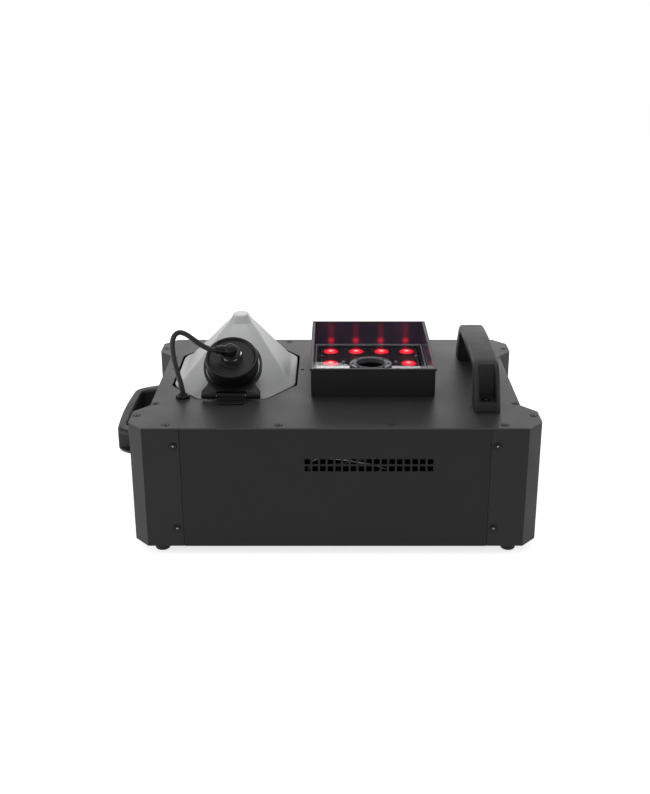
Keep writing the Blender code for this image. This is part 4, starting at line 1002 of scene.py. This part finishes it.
# route of the fluid hose from the elbow's outlet to the gland in the top plate
HOSE_ROUTE = [(-0.1306, -0.0532, 0.1991), (-0.1370, -0.0531, 0.1998),
              (-0.1460, -0.0520, 0.2040), (-0.1560, -0.0508, 0.2112),
              (-0.1640, -0.0500, 0.2165), (-0.1705, -0.0500, 0.2178),
              (-0.1755, -0.0505, 0.2140), (-0.1780, -0.0512, 0.2060),
              (-0.1775, -0.0525, 0.1930), (-0.1745, -0.0550, 0.1780),
              (-0.1705, -0.0580, 0.1640), (-0.1682, -0.0597, 0.1540),
              (-0.1680, -0.0600, 0.1460), (-0.1680, -0.0600, 0.1360)]


def make_hose():
    gland = lathe([(0.0033, 0.1335), (0.0033, 0.1510), (0.0040, 0.1512), (0.0052, 0.1502),
                   (0.0056, 0.1494), (0.0068, 0.1492), (0.0075, 0.1486), (0.0078, 0.1478),
                   (0.0078, 0.1463), (0.0069, 0.1463), (0.0069, 0.1335)], 48, closed=True,
                  ribs=(7, 8, 0.0006, 3))
    gland_piece = piece("gland_nut", gland, BLACK_PLASTIC,
                        replaces=["hose_gland"],
                        matrix=BODY @ Matrix.Translation((*GLAND, 0)), sharp=25)

    route = [p + BODY_CENTRE for p in smooth_route(HOSE_ROUTE, 0.0030)]
    hose = piece("fluid_hose_sleeve", tube(route, HOSE_R), HOSE_BLACK, body=None,
                 replaces=["fluid_hose"], matrix=Matrix.Identity(4), sharp=60)
    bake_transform(hose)


make_cap()
make_fitting()
make_collar()
make_hinge_lug()
make_hose()


# ---------------------------------------------------------------- wiring
def make_wiring():
    """Two loose wires behind the vent."""
    lamp_wire = [(-0.0300, -0.1380, 0.0900), (-0.0220, -0.1440, 0.1080),
                 (0.0000, -0.1450, 0.1095), (0.0230, -0.1450, 0.1060),
                 (0.0420, -0.1430, 0.1010), (0.0560, -0.1300, 0.0900)]
    heat_wire = [(-0.0350, -0.1360, 0.0980), (-0.0180, -0.1435, 0.1020),
                 (0.0060, -0.1450, 0.1045), (0.0330, -0.1440, 0.1100),
                 (0.0500, -0.1350, 0.1160)]
    for name, route, look, slot in (("wire_pale", lamp_wire, SILICONE, "silicone"),
                                    ("wire_grey", heat_wire, BUTTON, "hose_black")):
        wire = tube([Vector(p) for p in smooth_route(route, 0.0030)], 0.0008, 3)
        piece(name, wire, look, sharp=60)


make_wiring()


# ---------------------------------------------------------------- controls
def make_control_details():
    """Plain marks of the controls: dashes on the display and one symbol on each button."""
    dashes = [rectangle(x, x + 0.0070, -0.0007, 0.0007)
              for x in (-0.0125 + 0.0120 * i for i in range(4))]
    place = BODY @ Matrix.Translation((0, REAR_Y, MENU_Z)) @ FACING_BACK
    bars = gathered([extruded([dash], 0.0020, 0.0022) for dash in dashes])
    piece("display_dashes", bars, SEGMENT, matrix=place)
    symbols = [
        [rectangle(-0.0016, 0.0016, y - 0.0003, y + 0.0003) for y in (-0.0012, 0, 0.0012)],
        [[(-0.0017, 0.0012), (0.0017, 0.0012), (0, -0.0016)]],
        [[(-0.0017, -0.0012), (0.0017, -0.0012), (0, 0.0016)]],
        [rectangle(-0.0012, 0.0012, -0.0012, 0.0012)],
    ]
    for number, (x, loops) in enumerate(zip(BUTTONS_X, symbols), 1):
        mark = gathered([extruded([loop], 0.0054, 0.0057) for loop in loops])
        piece(f"button_{number}_symbol", mark, LEGEND, f"button_{number}",
              matrix=BODY @ Matrix.Translation((x, REAR_Y, MENU_Z)) @ FACING_BACK)
    screws = []
    for x, z in ((-0.0215, 0.0855), (0.0915, 0.0855), (-0.0215, 0.1245), (0.0915, 0.1245)):
        screws.append(moved(button_head(0.0018, 0.0009),
                            Matrix.Translation((x, REAR_Y + 0.0025, z)) @ FACING_BACK))
    for x in (0.1045, 0.1455):
        screws.append(moved(button_head(0.0024, 0.0012),
                            Matrix.Translation((x, REAR_Y + 0.0030, 0.0470)) @ FACING_BACK))
    piece("control_screws", gathered(screws), SCREW_BLACK)


make_control_details()
